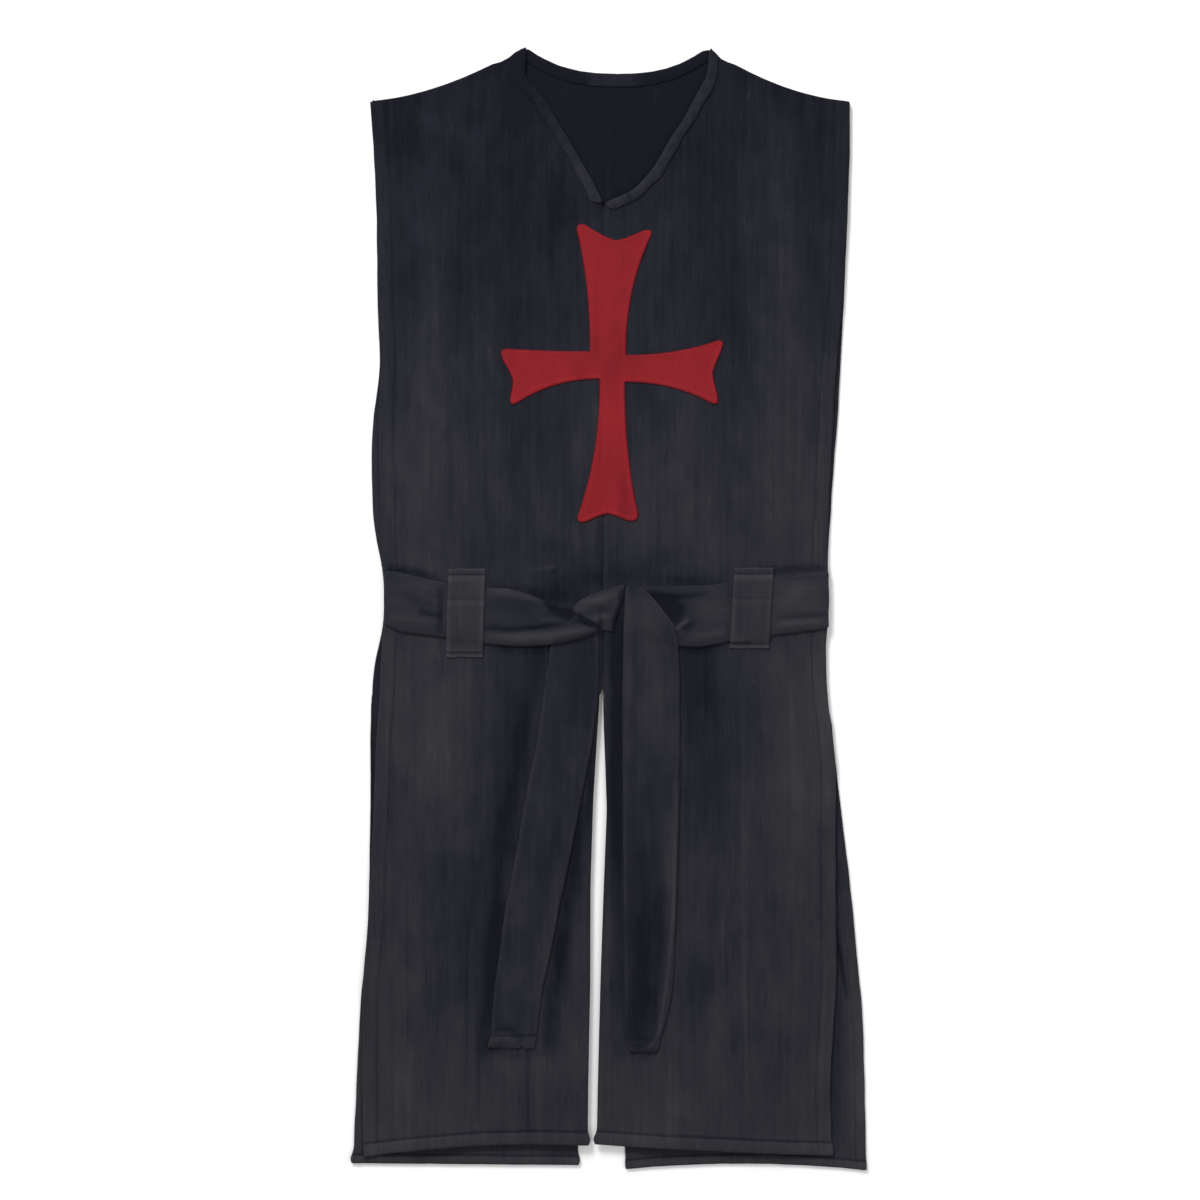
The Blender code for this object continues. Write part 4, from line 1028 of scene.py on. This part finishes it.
def belt_front(name, material, floor, seed):
    """A front run of the belt with its turn round the side, gathered toward the knot."""
    start_x, end_x = BELT_RUNS[name]
    xs = np.linspace(start_x, end_x, 110)
    low, high = soft_spans(name, 0, xs, 5, 0.4, 15.0, seed)
    v = np.linspace(0.0, 1.0, 34)
    x = xs[:, None] + 0.0 * v
    y = between(high, low, v)
    gather = ramp(np.abs(x - start_x) - 90.0, 60.0)
    crown = (1.0 - np.abs(2.0 * v - 1.0) ** 4) * (0.5 + 1.5 * gather)
    folds = stroked(x, y, CREASES[name]) + 0.35 * grain(x, y, 34.0, 13.0, seed)
    folds += 0.14 * grain(x, y, 9.0, 6.0, seed + 2.0)
    fade = ramp(np.abs(x - start_x), 6.0)
    z = laid(x, y, floor, (crown + folds) * fade, BELT_WALL, 2.0, 10, 0.25)
    # Painted shade and light from the strokes and patches, painted shade in the folds' troughs and painted
    # light on their ridges
    tone = painted_tone(name, x, y) + 0.10 * np.clip(folds, -1.5, 1.5) * fade
    turn = side_turn(start_x, y[0], z[0])
    wall = np.repeat((TURN_WALL, BELT_WALL), (len(turn), len(x)))[:, None]
    x, y, z = np.moveaxis(np.concatenate([turn, np.dstack([x, y, z])]), 2, 0)
    tone = np.concatenate([np.repeat(tone[:1], len(turn), axis=0), tone])
    return cloth(name, x, y, z, wall, material, tone)


def side_turn(side_x, y_row, z_row):
    """Outer points of the belt's turn round the garment's side, from the flap below to the front."""
    outward = math.copysign(1.0, side_x)
    skin = outward * (2.5 + 0.3 * np.sin(y_row / 6.0))
    middle_y = y_row.mean()
    rows = []
    for inset in np.linspace(11.5, 1.0, 4):
        rows.append(np.column_stack([np.full(y_row.shape, side_x - outward * inset), y_row,
                                     np.full(y_row.shape, 0.04)]))
    for angle in np.linspace(-math.pi / 2.0, math.pi / 2.0, 19)[1:-1]:
        bulge = math.cos(angle)
        rows.append(np.column_stack([side_x + skin * bulge ** 0.75, y_row - (y_row - middle_y) * 0.06 * bulge,
                                     z_row / 2.0 * (1.0 + math.sin(angle))]))
    return np.array(rows)


def belt_back(material):
    x, y = np.meshgrid(np.linspace(*BELT_BACK_X, 60), np.linspace(*BELT_BACK_Y, 12), indexing="ij")
    return cloth("belt_back", x, y, np.full(x.shape, BELT_BACK_Z), TURN_WALL, material)


def tail_cloth(name, material, floor, seed, ragged):
    """A hanging end of the belt, with lengthwise folds, an end hem and a worn end."""
    places = node_edges(name)[..., 1]
    low_y, high_y = places.min() + 0.1, places.max() - 0.1
    length = high_y - low_y
    ys = high_y - length * uneven(length, 6.0, 16.0, 1.3, 3.0)
    low, high = soft_spans(name, 1, ys, 4, 0.5, 22.0, seed)
    u = uneven(42.0, 4.0, 4.0, 1.0, 1.9)
    x = between(low, high, u)
    from_end = (ys - low_y)[:, None] + 0.0 * u
    from_edge = np.minimum(u, 1.0 - u) * (high - low)[:, None]
    y = ys[:, None] + ragged * grain(x, 0.0, 4.5, 1.0, seed) * ramp(16.0 - from_end, 16.0)
    relief = stroked(x, y, CREASES[name]) + 0.45 * grain(x, y, 12.0, 70.0, seed)
    relief += 0.14 * grain(x, y, 5.0, 9.0, seed + 2.0) + hem_relief(from_end, 12.0, 0.55)
    relief += 0.40 * ramp(from_edge, 1.2) * ramp(5.0 - from_edge, 2.5)
    z = laid(x, y, floor, relief, TAIL_WALL, 2.2, 8, 0.25)
    # Painted shade and light from the strokes and the relief, and painted highlight along the rolled edges
    tone = painted_tone(name, x, y) + 0.12 * np.clip(relief, -1.5, 1.5) + 0.12 * bell(from_edge, 1.6, 1.2)
    # Painted shade in the end hem's stitch groove
    if name == "tail_left":
        tone -= 0.30 * bell(from_end, 1.2, 12.5)
    return cloth(name, x, y, z, TAIL_WALL, material, tone)


def knot(material, floor):
    """The strip that crosses the knot, from behind the right tail down over the gathered belt."""
    rows, columns = 44, 40
    top, bottom = resampled(KNOT_TOP, rows), resampled(KNOT_BOTTOM, rows)
    left, right = resampled((KNOT_TOP[0], KNOT_BOTTOM[0]), columns), resampled(KNOT_RIGHT, columns)
    u = np.linspace(0.0, 1.0, rows)[:, None, None]
    v = np.linspace(0.0, 1.0, columns)[None, :, None]
    place = (1 - v) * top[:, None] + v * bottom[:, None] + (1 - u) * left[None] + u * right[None]
    place -= (1 - u) * ((1 - v) * top[0] + v * bottom[0]) + u * ((1 - v) * top[-1] + v * bottom[-1])
    x, y = place[..., 0], place[..., 1]
    puff = (2.0 * np.sin(math.pi * u) ** 0.6 * np.sin(math.pi * v) ** 0.6)[..., 0]
    folds = stroked(x, y, CREASES["knot_wrap"]) + 0.25 * grain(x, y, 9.0, 9.0, 81.0)
    z = np.minimum(laid(x, y, floor, puff + folds, KNOT_WALL, 1.5, 6, 0.35), KNOT_LEVEL)
    # A paler strip, with painted shade and painted light from its strokes and the troughs and ridges of its
    # folds
    tone = 0.14 + painted_tone("knot_wrap", x, y) + 0.10 * np.clip(folds, -1.0, 1.0)
    return cloth("knot_wrap", x, y, z, KNOT_WALL, material, tone, "knot_cloth")


# Sewing

def stitches(name, lines, material, trees):
    """Rows of short raised stitches lying on the cloth along the given lines."""
    verts = []
    faces = []
    for line in lines:
        line = np.array(line, float)
        length = lengths(line)[-1]
        steps = (np.arange(int(length / STITCH_PITCH)) + 0.5) * STITCH_PITCH
        here = points_along(line, steps)
        ahead = points_along(line, np.minimum(steps + 1.0, length)) - here
        levels = tops(trees, here[:, :1], here[:, 1:])[:, 0]
        for (x, y), z, (dx, dy) in zip(here, levels, ahead):
            size = math.hypot(dx, dy) or 1.0
            dx, dy = dx / size, dy / size
            first = len(verts)
            for share, full in ((-0.5, 0.25), (-0.28, 1.0), (0.28, 1.0), (0.5, 0.25)):
                at = share * STITCH_LENGTH
                for k in range(STITCH_SIDES):
                    angle = math.tau * (k + 0.5) / STITCH_SIDES
                    side = STITCH_RADIUS * full * math.cos(angle)
                    lift = STITCH_RADIUS * full * math.sin(angle) + 0.10
                    verts.append((x + dx * at - dy * side, y + dy * at + dx * side, z + lift))
            for a in range(first, first + 3 * STITCH_SIDES):
                b = a + 1 if (a + 1 - first) % STITCH_SIDES else a + 1 - STITCH_SIDES
                faces.append((a, b, b + STITCH_SIDES, a + STITCH_SIDES))
            faces.append(tuple(first + k for k in reversed(range(STITCH_SIDES))))
            faces.append(tuple(first + 3 * STITCH_SIDES + k for k in range(STITCH_SIDES)))
    add_piece(name, verts, faces, material)


# Stage

def area_light(name, place, size, power):
    """A square light that faces the middle of the scene."""
    data = bpy.data.lights.new(name, "AREA")
    data.size = size
    data.energy = power
    obj = add_object(name, data)
    obj.location = place
    obj.rotation_euler = (-Vector(place)).to_track_quat("-Z", "Y").to_euler()


def stage():
    mesh = bpy.data.meshes.new("floor")
    corners = ((-1, -1), (1, -1), (1, 1), (-1, 1))
    mesh.from_pydata([(x * FLOOR_HALF, y * FLOOR_HALF, FLOOR_LEVEL) for x, y in corners], [], [(0, 1, 2, 3)])
    mesh.materials.append(new_material("pale_floor", {
        "Base Color": (0.9, 0.9, 0.9, 1.0), "Roughness": 0.95, "Specular IOR Level": 0.0})[0])
    add_object("floor", mesh)
    area_light(*KEY_LIGHT)
    area_light(*FILL_LIGHT)
    world = bpy.data.worlds.new("soft_room")
    world.use_nodes = True
    world.node_tree.nodes["Background"].inputs["Color"].default_value = (1.0, 1.0, 1.0, 1.0)
    world.node_tree.nodes["Background"].inputs["Strength"].default_value = ROOM_LIGHT
    bpy.context.scene.world = world
    bpy.context.scene.view_settings.view_transform = "Standard"


def camera():
    data = bpy.data.cameras.new("camera")
    data.lens = LENS_MM
    data.sensor_width = SENSOR_MM
    data.clip_start = 0.05
    data.clip_end = 30.0
    obj = add_object("camera", data)
    distance = VIEW_WIDTH * LENS_MM / SENSOR_MM + CLOTH_LEVEL
    obj.location = (VIEW_CENTRE[0] * MM, VIEW_CENTRE[1] * MM, distance * MM)
    bpy.context.scene.camera = obj


# The whole garment

def dress():
    """Every piece of the garment by its CAD node, laid from the floor up, and then the stitches."""
    made = materials()
    objects = {"belt_back": belt_back(made["belt"])}
    points = {}

    def trees(*names):
        return [tree_of(objects[name]) for name in names]

    for name in ("back_left", "back_right"):
        objects[name], points[name] = panel(name, made["back"], [])
    backs = trees("back_left", "back_right")
    for name in ("front_left", "front_right"):
        objects[name], points[name] = panel(name, made["front"], backs)
    fronts = trees("front_left", "front_right")
    objects["neck_band_back"] = back_band(made["band"], backs)
    for side, seed in (("left", 13.0), ("right", 15.0)):
        name = "neck_band_" + side
        objects[name] = front_band(name, points["front_" + side], made["band"], fronts, seed)
    objects["cross"], cross_seam = cross(made["cross"], fronts)
    objects["tail_left"] = tail_cloth("tail_left", made["tail"], fronts, 27.0, 2.5)
    lower = fronts + trees("tail_left")
    objects["belt_left"] = belt_front("belt_left", made["belt"], lower, 35.0)
    objects["belt_right"] = belt_front("belt_right", made["belt"], fronts, 37.0)
    belts = trees("belt_left", "belt_right")
    objects["knot_wrap"] = knot(made["belt"], lower + belts)
    objects["tail_right"] = tail_cloth("tail_right", made["tail"], fronts + belts, 29.0, 1.5)
    objects["loop_left"], left_lines = belt_loop("loop_left", made["loop"], fronts + belts, 43.0)
    objects["loop_right"], right_lines = belt_loop("loop_right", made["loop"], fronts + belts, 47.0)
    for name in PANELS:
        floor = backs if name.startswith("back") else fronts
        stitches(name + "_stitches", hem_lines(name, points[name]), made["thread"], floor)
    loops = trees("loop_left", "loop_right")
    stitches("loop_stitches", left_lines + right_lines, made["thread"], loops)
    stitches("cross_stitches", [cross_seam], made["cross_thread"], trees("cross"))
    return objects


camera()
stage()
made_objects = dress()
